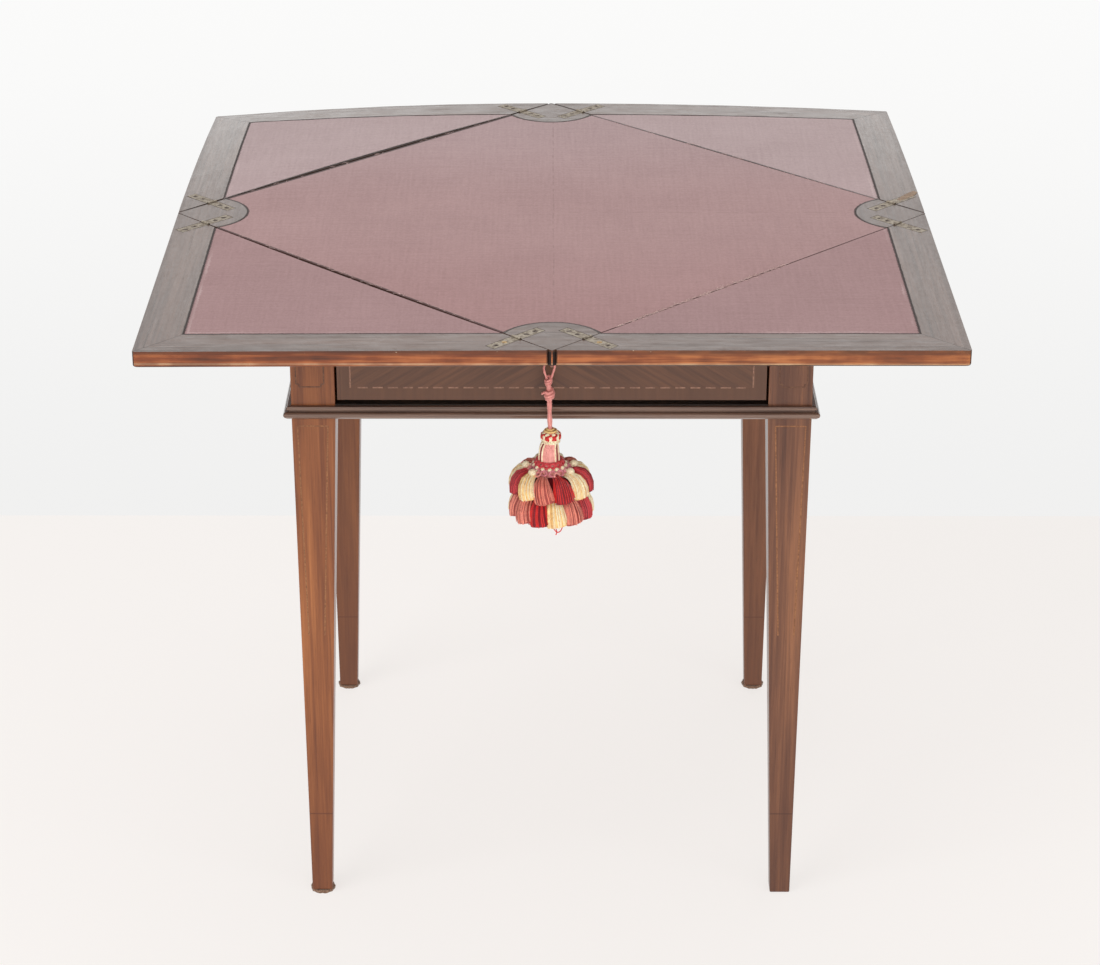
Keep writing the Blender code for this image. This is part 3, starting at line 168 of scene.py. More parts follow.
class Recipe:
    """The nodes of one material, or of the world."""

    def __init__(self, name: str, world: bpy.types.World | None = None) -> None:
        """Starts with no nodes.

        Args:
            name: The name of the material that is made.
            world: The world whose nodes they are, if no material is made.
        """
        self.material = world or bpy.data.materials.new(name)
        self.material.use_nodes = True
        self.tree = self.material.node_tree
        self.tree.nodes.clear()

    def node(self, kind: str, settings: dict | None = None, sockets: dict | None = None) -> bpy.types.Node:
        """Lays down any node.

        Args:
            kind: The node's type.
            settings: Its settings, which are set first.
            sockets: Values or signals for its inputs, by name or number.

        Returns:
            The node.
        """
        made = self.tree.nodes.new(kind)
        for key, value in (settings or {}).items():
            if key == "stops":
                self._stops(made, value)
            else:
                setattr(made, key, value)
        for key, value in (sockets or {}).items():
            socket = made.inputs[key]
            if isinstance(value, Signal):
                self.tree.links.new(value.socket, socket)
            elif isinstance(value, tuple) and len(value) == 3 and socket.type == "RGBA":
                socket.default_value = (*value, 1.0)
            else:
                socket.default_value = value
        return made

    def _stops(self, ramp: bpy.types.Node, stops: list[tuple[float, Colour]]) -> None:
        """Sets a colour ramp's stops.

        Args:
            ramp: The ramp's node.
            stops: Each place and its colour.
        """
        elements = ramp.color_ramp.elements
        for number, (place, colour) in enumerate(stops):
            element = elements[number] if number < len(elements) else elements.new(place)
            element.position = place
            element.color = (*colour, 1.0)

    def output(self, kind: str, settings: dict | None = None, sockets: dict | None = None,
               port: int | str = 0) -> Signal:
        """Lays down a node and gives one of its outputs as a signal."""
        return Signal(self, self.node(kind, settings, sockets).outputs[port])

    def place(self) -> tuple[Signal, Signal, Signal]:
        """The point on the piece, as X, Y and Z in metres at rest."""
        return self.split(self.output("ShaderNodeTexCoord", port="Object"))

    def facing(self) -> tuple[Signal, Signal, Signal]:
        """The way the surface faces, in the piece's own space."""
        return self.split(self.output("ShaderNodeTexCoord", port="Normal"))

    def rays(self) -> tuple[Signal, Signal, Signal]:
        """What kind of ray meets the surface.

        Returns:
            Whether it comes from the camera, from a gloss, and through glass.
        """
        ports = self.node("ShaderNodeLightPath").outputs
        kinds = ("Camera", "Glossy", "Transmission")
        camera, glossy, through = (Signal(self, ports[f"Is {kind} Ray"]) for kind in kinds)
        return camera, glossy, through

    def split(self, vector: Signal) -> tuple[Signal, Signal, Signal]:
        """A vector's three parts."""
        x, y, z = self.node("ShaderNodeSeparateXYZ", None, {0: vector}).outputs
        return Signal(self, x), Signal(self, y), Signal(self, z)

    def vector(self, x: Signal | float, y: Signal | float, z: Signal | float = 0.0) -> Signal:
        """Three parts as one vector."""
        return self.output("ShaderNodeCombineXYZ", None, {0: x, 1: y, 2: z})

    def cloud(self, vector: Signal, scale: float = 1.0, detail: float = 3.0, rough: float = 0.55,
              twist: float = 0.0) -> Signal:
        """Smooth noise about 0.5.

        Args:
            vector: Where it is read.
            scale: Its fineness.
            detail: How many finer layers it has.
            rough: How strong the finer layers are.
            twist: How much it is distorted.

        Returns:
            The noise.
        """
        return self.output("ShaderNodeTexNoise", {"noise_dimensions": "3D"}, {
            "Vector": vector, "Scale": scale, "Detail": detail, "Roughness": rough, "Distortion": twist,
        })

    def specks(self, vector: Signal, scale: float, size: float) -> Signal:
        """Scattered small spots.

        Args:
            vector: Where they are read.
            scale: How closely they are set.
            size: A spot's size, as a share of the spacing.

        Returns:
            Their mask.
        """
        cells = self.node("ShaderNodeTexVoronoi", {"feature": "F1"}, {"Vector": vector, "Scale": scale})
        distance = Signal(self, cells.outputs["Distance"])
        chance = self.split(Signal(self, cells.outputs["Color"]))[0]
        return distance.rise(size, size * SPOT_CORE) * chance.rise(*SPOT_CHANCE)

    def blend(self, factor: Signal | float, first: Signal | Colour, second: Signal | Colour,
              mode: str = "MIX") -> Signal:
        """Mixes two colours."""
        settings = {"data_type": "RGBA", "blend_type": mode, "clamp_factor": True}
        return self.output("ShaderNodeMix", settings, {0: factor, 6: first, 7: second}, 2)

    def marked(self, colour: Signal, *marks: tuple[Signal | float, Signal | Colour]) -> Signal:
        """Lays marks over a colour, one after another.

        Args:
            colour: The colour under them.
            marks: Each mark's mask, and its own colour.

        Returns:
            The marked colour.
        """
        for share, mark in marks:
            colour = self.blend(share, colour, mark)
        return colour

    def ramp(self, factor: Signal, *stops: tuple[float, Colour]) -> Signal:
        """Runs through colours."""
        return self.output("ShaderNodeValToRGB", {"stops": list(stops)}, {0: factor})

    def relief(self, height: Signal, depth: float, strength: float = 1.0) -> Signal:
        """Fine relief."""
        sockets = {"Strength": strength, "Distance": depth, "Height": height}
        return self.output("ShaderNodeBump", None, sockets)

    def surface(self, **sockets: Signal | float | Colour) -> bpy.types.Material:
        """Ends the recipe with its shader.

        Args:
            sockets: The shader's inputs, with _ for a space.

        Returns:
            The finished material.
        """
        inputs = {key.replace("_", " "): value for key, value in sockets.items()}
        shader = self.node("ShaderNodeBsdfPrincipled", None, inputs)
        self.node("ShaderNodeOutputMaterial", None, {"Surface": Signal(self, shader.outputs[0])})
        return self.material


# Finishes


def from_arch(x: Signal, y: Signal) -> Signal:
    """The distance in plan from the centre of the nearest arch in the cloth."""
    out = abs(x).most(abs(y)) - ARCH_CENTRE
    return (out ** 2 + abs(x).least(abs(y)) ** 2) ** 0.5


class Grain(Enum):
    """Which way the wood's grain runs."""

    X = "x"
    Y = "y"
    Z = "z"


@dataclass(frozen=True)
class Timber:
    """Wood whose grain runs along one axis."""

    name: str
    dark: Colour
    mid: Colour
    pale: Colour
    grain: Grain = Grain.X
    streak: float = 3.5 * MM
    length: float = 160 * MM
    roughness: float = 0.38
    coat: float = 0.35
    coat_roughness: float = 0.12
    foot_darkening: float = 0.0
    foot_levels: tuple[float, float] = (0.30, 0.02)
    foot_line: float = 104 * MM
    foot_line_half: float = 1.2 * MM

    def axes(self, recipe: Recipe) -> tuple[Signal, Signal, Signal]:
        """The point by the grain.

        Args:
            recipe: The material's nodes.

        Returns:
            Distance along the grain, across it, and the other way across it.
        """
        x, y, z = recipe.place()
        if self.grain is Grain.X:
            return x, y, z
        if self.grain is Grain.Y:
            return y, x, z
        return z, x, y

    def figure(self, recipe: Recipe, along: Signal, across: Signal,
               depth: Signal) -> tuple[Signal, Signal, Signal]:
        """The wood's streaks.

        Args:
            recipe: The material's nodes.
            along: Distance along the grain.
            across: Distance across it.
            depth: Distance the other way across it.

        Returns:
            Fine streaks, broad streaks, and open pores.
        """
        along = along * (1 / self.length)
        across = across * (1 / self.streak)
        depth = depth * (1 / self.streak)
        fine = recipe.cloud(recipe.vector(along, across, depth), 1.0, 4.0, 0.62, 0.25)
        broad = recipe.cloud(recipe.vector(along * 0.6, across * 0.16, depth * 0.16), 1.0, 2.0, 0.5)
        pores = recipe.cloud(recipe.vector(along * 9, across * 7, depth * 7), 1.0, 2.0, 0.6)
        return fine, broad, pores.rise(0.60, 0.72)

    def wood(self, recipe: Recipe, fine: Signal, broad: Signal, pores: Signal) -> Signal:
        """The wood's colour.

        Args:
            recipe: The material's nodes.
            fine: Fine streaks.
            broad: Broad streaks.
            pores: Open pores.

        Returns:
            The colour.
        """
        streaked = fine * 0.62 + broad * 0.38
        body = recipe.ramp(streaked, (0.30, self.dark), (0.5, self.mid), (0.70, self.pale))
        return recipe.blend(pores * 0.35, body, self.dark)

    def material(self) -> bpy.types.Material:
        """Makes the finish.

        Returns:
            The material.
        """
        recipe = Recipe(self.name)
        fine, broad, pores = self.figure(recipe, *self.axes(recipe))
        colour = self.wood(recipe, fine, broad, pores)
        if self.foot_darkening:
            height = recipe.place()[2]
            low = height.rise(*self.foot_levels) * self.foot_darkening
            line = height.near(self.foot_line, self.foot_line_half) * 0.7
            colour = recipe.marked(colour, (low, self.dark), (line, self.dark))
        rough = self.roughness + (fine - 0.5) * 0.25 + pores * 0.12
        normal = recipe.relief(fine * 0.6 + pores * -0.4, 0.12 * MM, 0.6)
        return recipe.surface(Base_Color=colour, Roughness=rough, Normal=normal, Coat_Weight=self.coat,
                              Coat_Roughness=self.coat_roughness)


@dataclass(frozen=True)
class TopTimber(Timber):
    """The opened top's wood: mitred borders, washed out on top and redder down its edges, with painted
    shade in its gaps and recesses and painted light on its edges.
    """

    edge_dark: Colour = (0.060, 0.016, 0.006)
    edge_mid: Colour = (0.206, 0.048, 0.0125)
    edge_pale: Colour = (0.41, 0.124, 0.036)
    # Near-black for grooves and joints, and painted shade in the recesses and low in the gaps; the next
    # colour is the gap walls' painted shade.
    groove_and_shade: Colour = (0.016, 0.008, 0.006)
    wall: Colour = (0.07, 0.030, 0.016)
    # A pale line along the lower arris: part wear, part painted highlight.
    arris_wear_and_highlight: Colour = (0.50, 0.30, 0.17)
    chip: Colour = (0.62, 0.47, 0.33)
    dust: Colour = (0.42, 0.36, 0.31)
    # Painted light: this multiplier lightens the edges towards the right.
    painted_right_light: Colour = (1.08, 1.20, 1.18)
    below_dark: Colour = (0.045, 0.014, 0.007)
    below_mid: Colour = (0.125, 0.040, 0.018)
    below_pale: Colour = (0.235, 0.085, 0.038)
    below_pores: Colour = (0.03, 0.010, 0.006)
    coat_roughness: float = 0.13
    line_half: float = 1.2 * MM
    seam_offset: float = 0.5 * MM
    seam_wander: float = 1.6 * MM
    strap_out: float = 1.9 * MM
    strap_half_width: float = 5.85 * MM
    strap_half_length: float = 35.5 * MM
    strap_soft: tuple[float, float] = (1.3 * MM, 0.5 * MM)
    joint_half: float = 2.2 * MM
    mitre_half: tuple[float, float] = (0.8 * MM, 0.25 * MM)
    mitre_start: tuple[float, float] = (360 * MM, 375 * MM)
    rim_band: tuple[float, float] = (408.5 * MM, 417.5 * MM)
    rim_wander: float = 12 * MM
    outer_band: tuple[float, float] = (415 * MM, 415.8 * MM)
    # Where that pale arris line runs: part wear, part painted highlight.
    arris_highlight_level: float = 712.8 * MM
    arris_highlight_half: float = 1.6 * MM
    shaded_levels: tuple[float, float] = (720 * MM, 726.2 * MM)
    chip_levels: tuple[float, float] = (722.5 * MM, 725.8 * MM)
    # Between these heights the gap walls' painted shade lightens upward.
    gap_shade_levels: tuple[float, float] = (725.2 * MM, 726.4 * MM)

    def seams(self, recipe: Recipe, x: Signal, y: Signal, reach: Signal) -> Signal:
        """The dark line in the angle between the wood and the cloth.

        Args:
            recipe: The material's nodes.
            x: Place along X.
            y: Place along Y.
            reach: The larger of |x| and |y|.

        Returns:
            The line's mask.
        """
        wander = (recipe.cloud(recipe.vector(x, y, 0.0), 75, 3.0) - 0.5) * self.seam_wander
        border = (reach - CLOTH_EDGE - self.seam_offset + wander).near(0.0, self.line_half)
        out = from_arch(x, y)
        arch = (out - ARCH_RADIUS + self.seam_offset + wander).near(0.0, self.line_half)
        outside = out.rise(ARCH_RADIUS - 0.3 * MM, ARCH_RADIUS)
        inside = reach.rise(CLOTH_EDGE + 0.3 * MM, CLOTH_EDGE)
        return (border * outside).most(arch * inside)

    def pockets(self, far_x: Signal, far_y: Signal, reach: Signal) -> Signal:
        """The dark joint round each hinge plate.

        Args:
            far_x: The distance from the middle, along X.
            far_y: The distance from the middle, along Y.
            reach: The larger of the two.

        Returns:
            The mask, which also covers the wood under the plates.
        """
        lesser = far_x.least(far_y)
        along = abs((reach - lesser) * DIAGONAL - HINGE_PLACE)
        out = abs((reach + lesser) * DIAGONAL - SEAM_HALF - self.strap_out)
        far, close = self.strap_soft
        beside = along.rise(self.strap_half_width + far, self.strap_half_width + close)
        return beside * out.rise(self.strap_half_length + far, self.strap_half_length + close)

    def closed_face(self, recipe: Recipe, x: Signal, y: Signal, z: Signal) -> Signal:
        """The underside, which shows when the leaves are folded: mahogany, its grain across the leaf.

        Args:
            recipe: The material's nodes.
            x: Place along X.
            y: Place along Y.
            z: Height.

        Returns:
            The colour.
        """
        fold = (abs(x) + abs(y)) * DIAGONAL
        beside = (abs(x) - abs(y)) * DIAGONAL
        fine, broad, pores = self.figure(recipe, beside, fold, z)
        streaked = fine * 0.55 + broad * 0.45
        stops = (0.32, self.below_dark), (0.5, self.below_mid), (0.68, self.below_pale)
        return recipe.blend(pores * 0.4, recipe.ramp(streaked, *stops), self.below_pores)

    def rim_colour(self, recipe: Recipe, x: Signal, fine: Signal, along: Signal, across: Signal,
                   z: Signal) -> Signal:
        """The redder wood down the outer edges, with painted shade along their upper part, a pale lower
        arris that is part wear and part painted highlight, painted light towards the right, and chips.

        Args:
            recipe: The material's nodes.
            x: Place along X.
            fine: Fine streaks.
            along: Distance along the edge.
            across: Distance in from it.
            z: Height.

        Returns:
            The colour.
        """
        coarse = recipe.cloud(recipe.vector(along * 16, across * 90, z * 210), 1.0, 3.0)
        patch = recipe.cloud(recipe.vector(along, across, z), 24, 3.0, 0.6)
        # The small rise with x is painted light, lighter towards the right.
        mixed = (fine * 0.55 + coarse * 0.45) * 0.7 + patch * 0.3 + x.rise(-0.25, 0.30) * 0.034 - 0.008
        colour = recipe.ramp(mixed, (0.36, self.edge_dark), (0.49, self.edge_mid), (0.60, self.edge_pale))
        upper = z.rise(*self.shaded_levels) * (0.55 + patch.rise(0.4, 0.6) * 0.3)
        # A pale line along the lower arris: part wear, part painted highlight.
        arris = z.near(self.arris_highlight_level, self.arris_highlight_half) * (0.35 + patch.rise(0.45, 0.62) * 0.4)
        colour = recipe.marked(colour, (upper, self.edge_dark), (arris, self.arris_wear_and_highlight))
        # Painted light: the edges towards the right are made paler.
        painted_right_light = recipe.blend(1.0, colour, self.painted_right_light, "MULTIPLY")
        chips = recipe.specks(recipe.vector(along, across, z * 2.2), 110, 0.12)
        chips = chips * z.rise(*self.chip_levels) * 0.85
        return recipe.marked(colour, (x.rise(0.02, 0.20), painted_right_light), (chips, self.chip))

    def material(self) -> bpy.types.Material:
        """Makes the finish.

        Returns:
            The material.
        """
        recipe = Recipe(self.name)
        x, y, z = recipe.place()
        face_x, face_y, facing_up = recipe.facing()
        far_x = abs(x)
        far_y = abs(y)
        front_or_back = (far_y - far_x).rise(-0.1 * MM, 0.1 * MM)
        side = 1 - front_or_back
        along = x * front_or_back + y * side
        across = y * front_or_back + x * side
        fine, broad, pores = self.figure(recipe, along, across, z)
        reach = far_x.most(far_y)
        point = recipe.vector(x, y, z)
        worn = recipe.cloud(point, 90, 3.0)
        rim = (reach + (worn - 0.5) * self.rim_wander).rise(*self.rim_band)
        mitre = abs(far_x - far_y).rise(*self.mitre_half) * reach.rise(*self.mitre_start)
        out = from_arch(x, y)
        land = out.rise(ARCH_RADIUS, ARCH_RADIUS - 2 * MM)
        spots = recipe.specks(point, 95, 0.10)
        dust = recipe.specks(recipe.vector(x, y, z + 0.3), 130, 0.07)
        # Behind the middle the wood is darkened along the seams: a dark joint, widened as painted shade of
        # the seam gap.
        joint = ((far_x + far_y) * DIAGONAL - SEAM_HALF).near(0.0, self.joint_half) * y.rise(-0.02, 0.02)
        seams = self.seams(recipe, x, y, reach).most(joint)
        # The wood floor just inside the cloth's edge is painted near-black as shade; the pockets add the
        # dark joint round each hinge plate.
        recess_shade_and_joints = reach.rise(CLOTH_EDGE - 0.5 * MM, CLOTH_EDGE - 1.5 * MM)
        recess_shade_and_joints = recess_shade_and_joints * out.rise(ARCH_RADIUS, ARCH_RADIUS + 1 * MM)
        recess_shade_and_joints = recess_shade_and_joints.most(self.pockets(far_x, far_y, reach) * 0.8)
        top_colour = recipe.marked(
            self.wood(recipe, fine, broad, pores), (rim * 0.45, self.dark), (mitre * 0.8, self.groove_and_shade),
            (land * 0.3, self.dark), (spots * 0.7, self.dark), (dust * 0.6, self.dust),
            (seams, self.groove_and_shade), (recess_shade_and_joints * 0.85, self.groove_and_shade),
        )
        square_on = abs(face_x).most(abs(face_y)).rise(0.80, 0.92)
        outer = square_on.most(facing_up.rise(0.2, 0.3)) * reach.rise(*self.outer_band)
        # The inner walls of the gaps and pockets: painted shade, darkest lowest down.
        gap_shade_colour = recipe.blend(z.rise(*self.gap_shade_levels), self.groove_and_shade, self.wall)
        on_top = facing_up.rise(0.55, 0.9)
        below = facing_up.rise(-0.55, -0.9)
        colour = recipe.marked(
            gap_shade_colour, (outer, self.rim_colour(recipe, x, fine, along, across, z)),
            (on_top, top_colour), (below, self.closed_face(recipe, x, y, z)),
        )
        shine = on_top * (1 - seams.most(recess_shade_and_joints).most(mitre * 0.6) * 0.95)
        rough = self.roughness + (fine - 0.5) * 0.16 + rim * 0.08 + pores * 0.1
        rough = rough + (1 - shine - below) * 0.35
        normal = recipe.relief(fine * 0.5 - pores * 0.5 - mitre * 0.8, 0.1 * MM, 0.4)
        spacing = 330 - front_or_back * 190
        streaks = recipe.cloud(recipe.vector(along * 26, across * spacing, 0.0), 1.0, 3.0, 0.65) - 0.5
        streaks = streaks * (0.85 + front_or_back * 1.15)
        dull = recipe.cloud(recipe.vector(x, y, 0.0), 150, 3.0, 0.7) - 0.5
        polish = self.coat + (fine - 0.5) * 0.7 - pores * 0.12 - land * 0.07 + streaks + dull * 0.8
        coat = shine * polish + (1 - on_top) * outer * 0.3 + below * 0.5
        return recipe.surface(Base_Color=colour, Roughness=rough, Normal=normal, Coat_Weight=coat,
                              Coat_Roughness=self.coat_roughness)


@dataclass(frozen=True)
class DrawerVeneer(Timber):
    """Veneer book-matched about the middle, with a crossband outside the stringing."""

    coat_roughness: float = 0.15
    slope: float = 0.62
    crack_left: float = 223.5 * MM
    crack_half: float = 0.5 * MM
    crack_wander: float = 3 * MM
    crack_levels: tuple[float, float] = (660 * MM, 640 * MM)

    def material(self) -> bpy.types.Material:
        """Makes the finish.

        Returns:
            The material.
        """
        recipe = Recipe(self.name)
        x, y, z = recipe.place()
        far_x = abs(x)
        across = z + far_x * self.slope
        along = far_x - z * self.slope
        fine, broad, pores = self.figure(recipe, along, across, y)
        matched = self.wood(recipe, fine, broad, pores)
        band = recipe.blend(0.6, self.wood(recipe, *self.figure(recipe, z, x, y)), self.mid)
        soft = 0.2 * MM
        in_x = far_x.rise(STRING_X + soft, STRING_X - soft)
        in_low = z.rise(STRING_LOW - soft, STRING_LOW + soft)
        in_high = z.rise(STRING_HIGH + soft, STRING_HIGH - soft)
        wander = (recipe.cloud(recipe.vector(z, z, z), 90, 2.0) - 0.5) * self.crack_wander
        crack = (x + self.crack_left + wander).near(0, self.crack_half) * z.rise(*self.crack_levels)
        colour = recipe.marked(band, (in_x * in_low * in_high, matched), (crack * 0.8, self.dark))
        rough = self.roughness + (fine - 0.5) * 0.2 + pores * 0.1
        normal = recipe.relief(fine * 0.5 - pores * 0.5, 0.08 * MM, 0.5)
        return recipe.surface(Base_Color=colour, Roughness=rough, Normal=normal, Coat_Weight=self.coat,
                              Coat_Roughness=self.coat_roughness)


@dataclass(frozen=True)
class Baize:
    """Worn card cloth with a fine weave, faint creases darkened as painted shade, small stains, and
    painted sheen that makes it paler towards the back.
    """

    name: str
    front: Colour
    middle: Colour
    back: Colour
    cut: Colour = (0.16, 0.075, 0.07)
    lint: Colour = (0.62, 0.47, 0.46)
    shades: Tones = ((0.85, 0.82, 0.82), (1.0, 1.0, 1.0), (1.13, 1.16, 1.16))
    fray_soft: tuple[float, float] = (2.1 * MM, 1.1 * MM)
    wander: float = 3 * MM
    lint_place: float = 4.4 * MM
    lint_half: float = 1.6 * MM
    crease: bool = False
    crease_half: float = 1.1 * MM
    crease_place: tuple[float, float] = (2 * MM, 2.5 * MM)

    def _darker(self, red: float, green: float, blue: float) -> Colour:
        """The middle's colour, with each channel turned down to a share."""
        return red * self.middle[0], green * self.middle[1], blue * self.middle[2]

    def edges(self, recipe: Recipe, x: Signal, y: Signal) -> Signal:
        """Where the cloth meets the wood, with its frayed threads, and a dark band along the seams, wider
        at the left and back, that is part worn cloth and part painted shade of the seam gap.

        Args:
            recipe: The material's nodes.
            x: Place along X.
            y: Place along Y.

        Returns:
            The mask.
        """
        reach = abs(x).most(abs(y))
        far, close = self.fray_soft
        fray = (recipe.cloud(recipe.vector(x, y, 0.0), 420, 2.0, 0.7) - 0.5) * self.wander
        border = (reach + fray).rise(CLOTH_EDGE - far, CLOTH_EDGE - close)
        arch = (from_arch(x, y) + fray).rise(ARCH_RADIUS + far, ARCH_RADIUS + close)
        inside = (abs(x) + abs(y)) * -DIAGONAL + SEAM_HALF
        left = x.rise(0.02, -0.02)
        behind = y.rise(-0.02, 0.02)
        # The seam band's width: part worn cloth, part painted shade of the seam gap.
        seam_wear_and_shade = (0.7 + left * 1.3 + behind * (0.9 + left * 0.4)) * MM
        seam = (inside.most(inside * -4) + fray * 0.4 - seam_wear_and_shade).rise(0.5 * MM, -0.4 * MM)
        return border.most(arch).most(seam)

    def material(self) -> bpy.types.Material:
        """Makes the finish.

        Returns:
            The material.
        """
        recipe = Recipe(self.name)
        x, y, z = recipe.place()
        point = recipe.vector(x, y, z)
        warp = recipe.cloud(recipe.vector(x * 420, y * 1900, z * 900), 1.0, 2.0)
        weft = recipe.cloud(recipe.vector(x * 1900, y * 420, z * 900), 1.0, 2.0)
        weave = warp * 0.5 + weft * 0.5
        patches = recipe.cloud(point, 7.0, 3.0, 0.6)
        fibres = recipe.cloud(point, 260.0, 2.0, 0.7)
        # Paler towards the back: painted sheen.
        ground = recipe.blend(y.rise(-0.34, 0.02), self.front, self.middle)
        ground = recipe.blend(y.rise(0.0, 0.36), ground, self.back)
        slubs = recipe.cloud(recipe.vector(x * 12, y * 330, 0.0), 1.0, 2.0) * 0.5
        slubs = slubs + recipe.cloud(recipe.vector(x * 330, y * 12, 0.0), 1.0, 2.0) * 0.5
        mixed = weave * 0.34 + patches * 0.16 + fibres * 0.22 + slubs * 0.28
        shade = recipe.ramp(mixed, *zip((0.40, 0.5, 0.60), self.shades))
        stains = recipe.specks(point, 26, 0.045)
        reach = abs(x).most(abs(y))
        lint = (reach - CLOTH_EDGE + self.lint_place + (fibres - 0.5) * 0.006).near(0.0, self.lint_half)
        colour = recipe.marked(
            recipe.blend(1.0, ground, shade, "MULTIPLY"), (stains * 0.55, self._darker(0.35, 0.3, 0.3)),
            (lint * patches.rise(0.42, 0.6) * 0.45, self.lint),
            (self.edges(recipe, x, y) * 0.92, self._darker(0.10, 0.07, 0.06)),
            (recipe.facing()[2].rise(0.6, 0.3), self.cut),
        )
        height = weave * 0.7 + fibres * 0.3
        if self.crease:
            wander = (recipe.cloud(recipe.vector(x * 9, y * 9, 0.0), 1.0, 2.0) - 0.5) * self.wander
            worn = recipe.cloud(recipe.vector(x * 60, y * 60, 0.0), 1.0, 2.0).rise(0.42, 0.58)
            crease_x, crease_y = self.crease_place
            up_down = (x - crease_x + wander).near(0.0, self.crease_half) * y.rise(-0.31, -0.29)
            left_right = (y - crease_y + wander).near(0.0, self.crease_half) * x.rise(-0.02, 0.03)
            lines = up_down.most(left_right)
            # The creases are darkened in patches: painted shade in the creases.
            colour = recipe.blend(lines * worn * 0.34, colour, self._darker(0.5, 0.45, 0.45))
            height = height - lines * 0.6
        ripples = recipe.cloud(recipe.vector(x * 22, y * 22, 0.0), 1.0, 2.0)
        cockles = recipe.cloud(recipe.vector(x * 70, y * 70, 0.0), 1.0, 3.0, 0.55, 0.6)
        cockles = cockles * reach.rise(CLOTH_EDGE - 60 * MM, CLOTH_EDGE - 4 * MM)
        normal = recipe.relief(height * 0.5 + ripples * 3.0 + cockles * 2.4, 0.22 * MM, 0.6)
        return recipe.surface(Base_Color=colour, Roughness=0.8, Normal=normal, Sheen_Weight=0.1,
                              Sheen_Roughness=0.5)


@dataclass(frozen=True)
class AgedMetal:
    """Old metal, dulled in patches and pitted."""

    name: str
    bright: Colour
    dull: Colour
    spots: Colour
    roughness: float = 0.36
    dulling: float = 0.5

    def material(self) -> bpy.types.Material:
        """Makes the finish.

        Returns:
            The material.
        """
        recipe = Recipe(self.name)
        x, y, z = recipe.place()
        point = recipe.vector(x, y, z)
        patches = recipe.cloud(point, 210.0, 4.0, 0.65)
        fine = recipe.cloud(point, 1400.0, 3.0, 0.6)
        share = (patches + (self.dulling - 0.5)).rise(0.38, 0.64)
        colour = recipe.blend(share, self.bright, self.dull)
        pits = (fine * 0.6 + patches * 0.4).rise(0.56, 0.66)
        colour = recipe.blend(pits * 0.55, colour, self.spots)
        rough = self.roughness + share * 0.16 + pits * 0.15
        normal = recipe.relief(fine - pits * 0.5, 0.05 * MM, 0.5)
        return recipe.surface(Base_Color=colour, Roughness=rough, Metallic=1 - pits * 0.5 - share * 0.15,
                              Normal=normal)


@dataclass(frozen=True)
class Silk:
    """Dyed thread: the tassel's silk, or the frayed ends of the cloth."""

    name: str
    colour: Colour
    along_z: bool = True
    sheen: float = 0.35
    roughness: float = 0.5

    def material(self) -> bpy.types.Material:
        """Makes the finish.

        Returns:
            The material.
        """
        recipe = Recipe(self.name)
        x, y, z = recipe.place()
        stretch = 90.0 if self.along_z else 1400.0
        threads = recipe.cloud(recipe.vector(x * 1900, y * 1900, z * stretch), 1.0, 2.0, 0.6)
        patches = recipe.cloud(recipe.vector(x, y, z), 120.0, 2.0)
        red, green, blue = self.colour
        dark = (red * 0.62, green * 0.45, blue * 0.45)
        light = (min(1.0, red * 1.22), min(1.0, green * 1.3 + 0.01), min(1.0, blue * 1.3 + 0.01))
        mixed = threads * 0.7 + patches * 0.3
        colour = recipe.ramp(mixed, (0.34, dark), (0.5, self.colour), (0.66, light))
        normal = recipe.relief(threads, 0.12 * MM, 0.6)
        return recipe.surface(Base_Color=colour, Roughness=self.roughness, Normal=normal,
                              Sheen_Weight=self.sheen, Sheen_Roughness=0.35)


@dataclass(frozen=True)
class Plain:
    """A small or hidden surface: inlay, felt, or a strip painted near-black as shade, with its own grain.
    """

    name: str
    dark: Colour
    light: Colour
    scale: float = 300.0
    roughness: float = 0.7
    depth: float = 0.1 * MM
    sheen: float = 0.0

    def material(self) -> bpy.types.Material:
        """Makes the finish.

        Returns:
            The material.
        """
        recipe = Recipe(self.name)
        point = recipe.vector(*recipe.place())
        grain = recipe.cloud(point, self.scale, 4.0, 0.65)
        colour = recipe.ramp(grain, (0.36, self.dark), (0.64, self.light))
        normal = recipe.relief(grain, self.depth, 0.7)
        return recipe.surface(Base_Color=colour, Roughness=self.roughness, Normal=normal,
                              Sheen_Weight=self.sheen)


# Modelling


def frames_along(path: list[Vector], facing: Vector | None = None) -> list[Matrix]:
    """A turning frame at each point of a path, Z along it.

    Args:
        path: The points.
        facing: The way that X should face all along, if it may not roll.

    Returns:
        One matrix for each point.
    """
    start = (path[1] - path[0]).normalized()
    side = facing or start.orthogonal()
    frames = []
    for number, point in enumerate(path):
        before = path[max(number - 1, 0)]
        after = path[min(number + 1, len(path) - 1)]
        along = (after - before).normalized()
        keep = facing or side
        side = (keep - along * keep.dot(along)).normalized()
        other = along.cross(side)
        frames.append(Matrix.Translation(point) @ Matrix((side, other, along)).transposed().to_4x4())
    return frames


def smoothed(path: list[Vector], steps: int) -> list[Vector]:
    """A finer path through the same points.

    Args:
        path: The points.
        steps: Parts between each pair.

    Returns:
        The finer path.
    """
    fine = []
    for number in range(len(path) - 1):
        p0 = path[max(number - 1, 0)]
        p1, p2 = path[number], path[number + 1]
        p3 = path[min(number + 2, len(path) - 1)]
        for step in range(steps):
            t = step / steps
            fine.append(0.5 * (2 * p1 + (p2 - p0) * t + (2 * p0 - 5 * p1 + 4 * p2 - p3) * t ** 2
                               + (3 * p1 - p0 - 3 * p2 + p3) * t ** 3))
    return fine + [path[-1]]


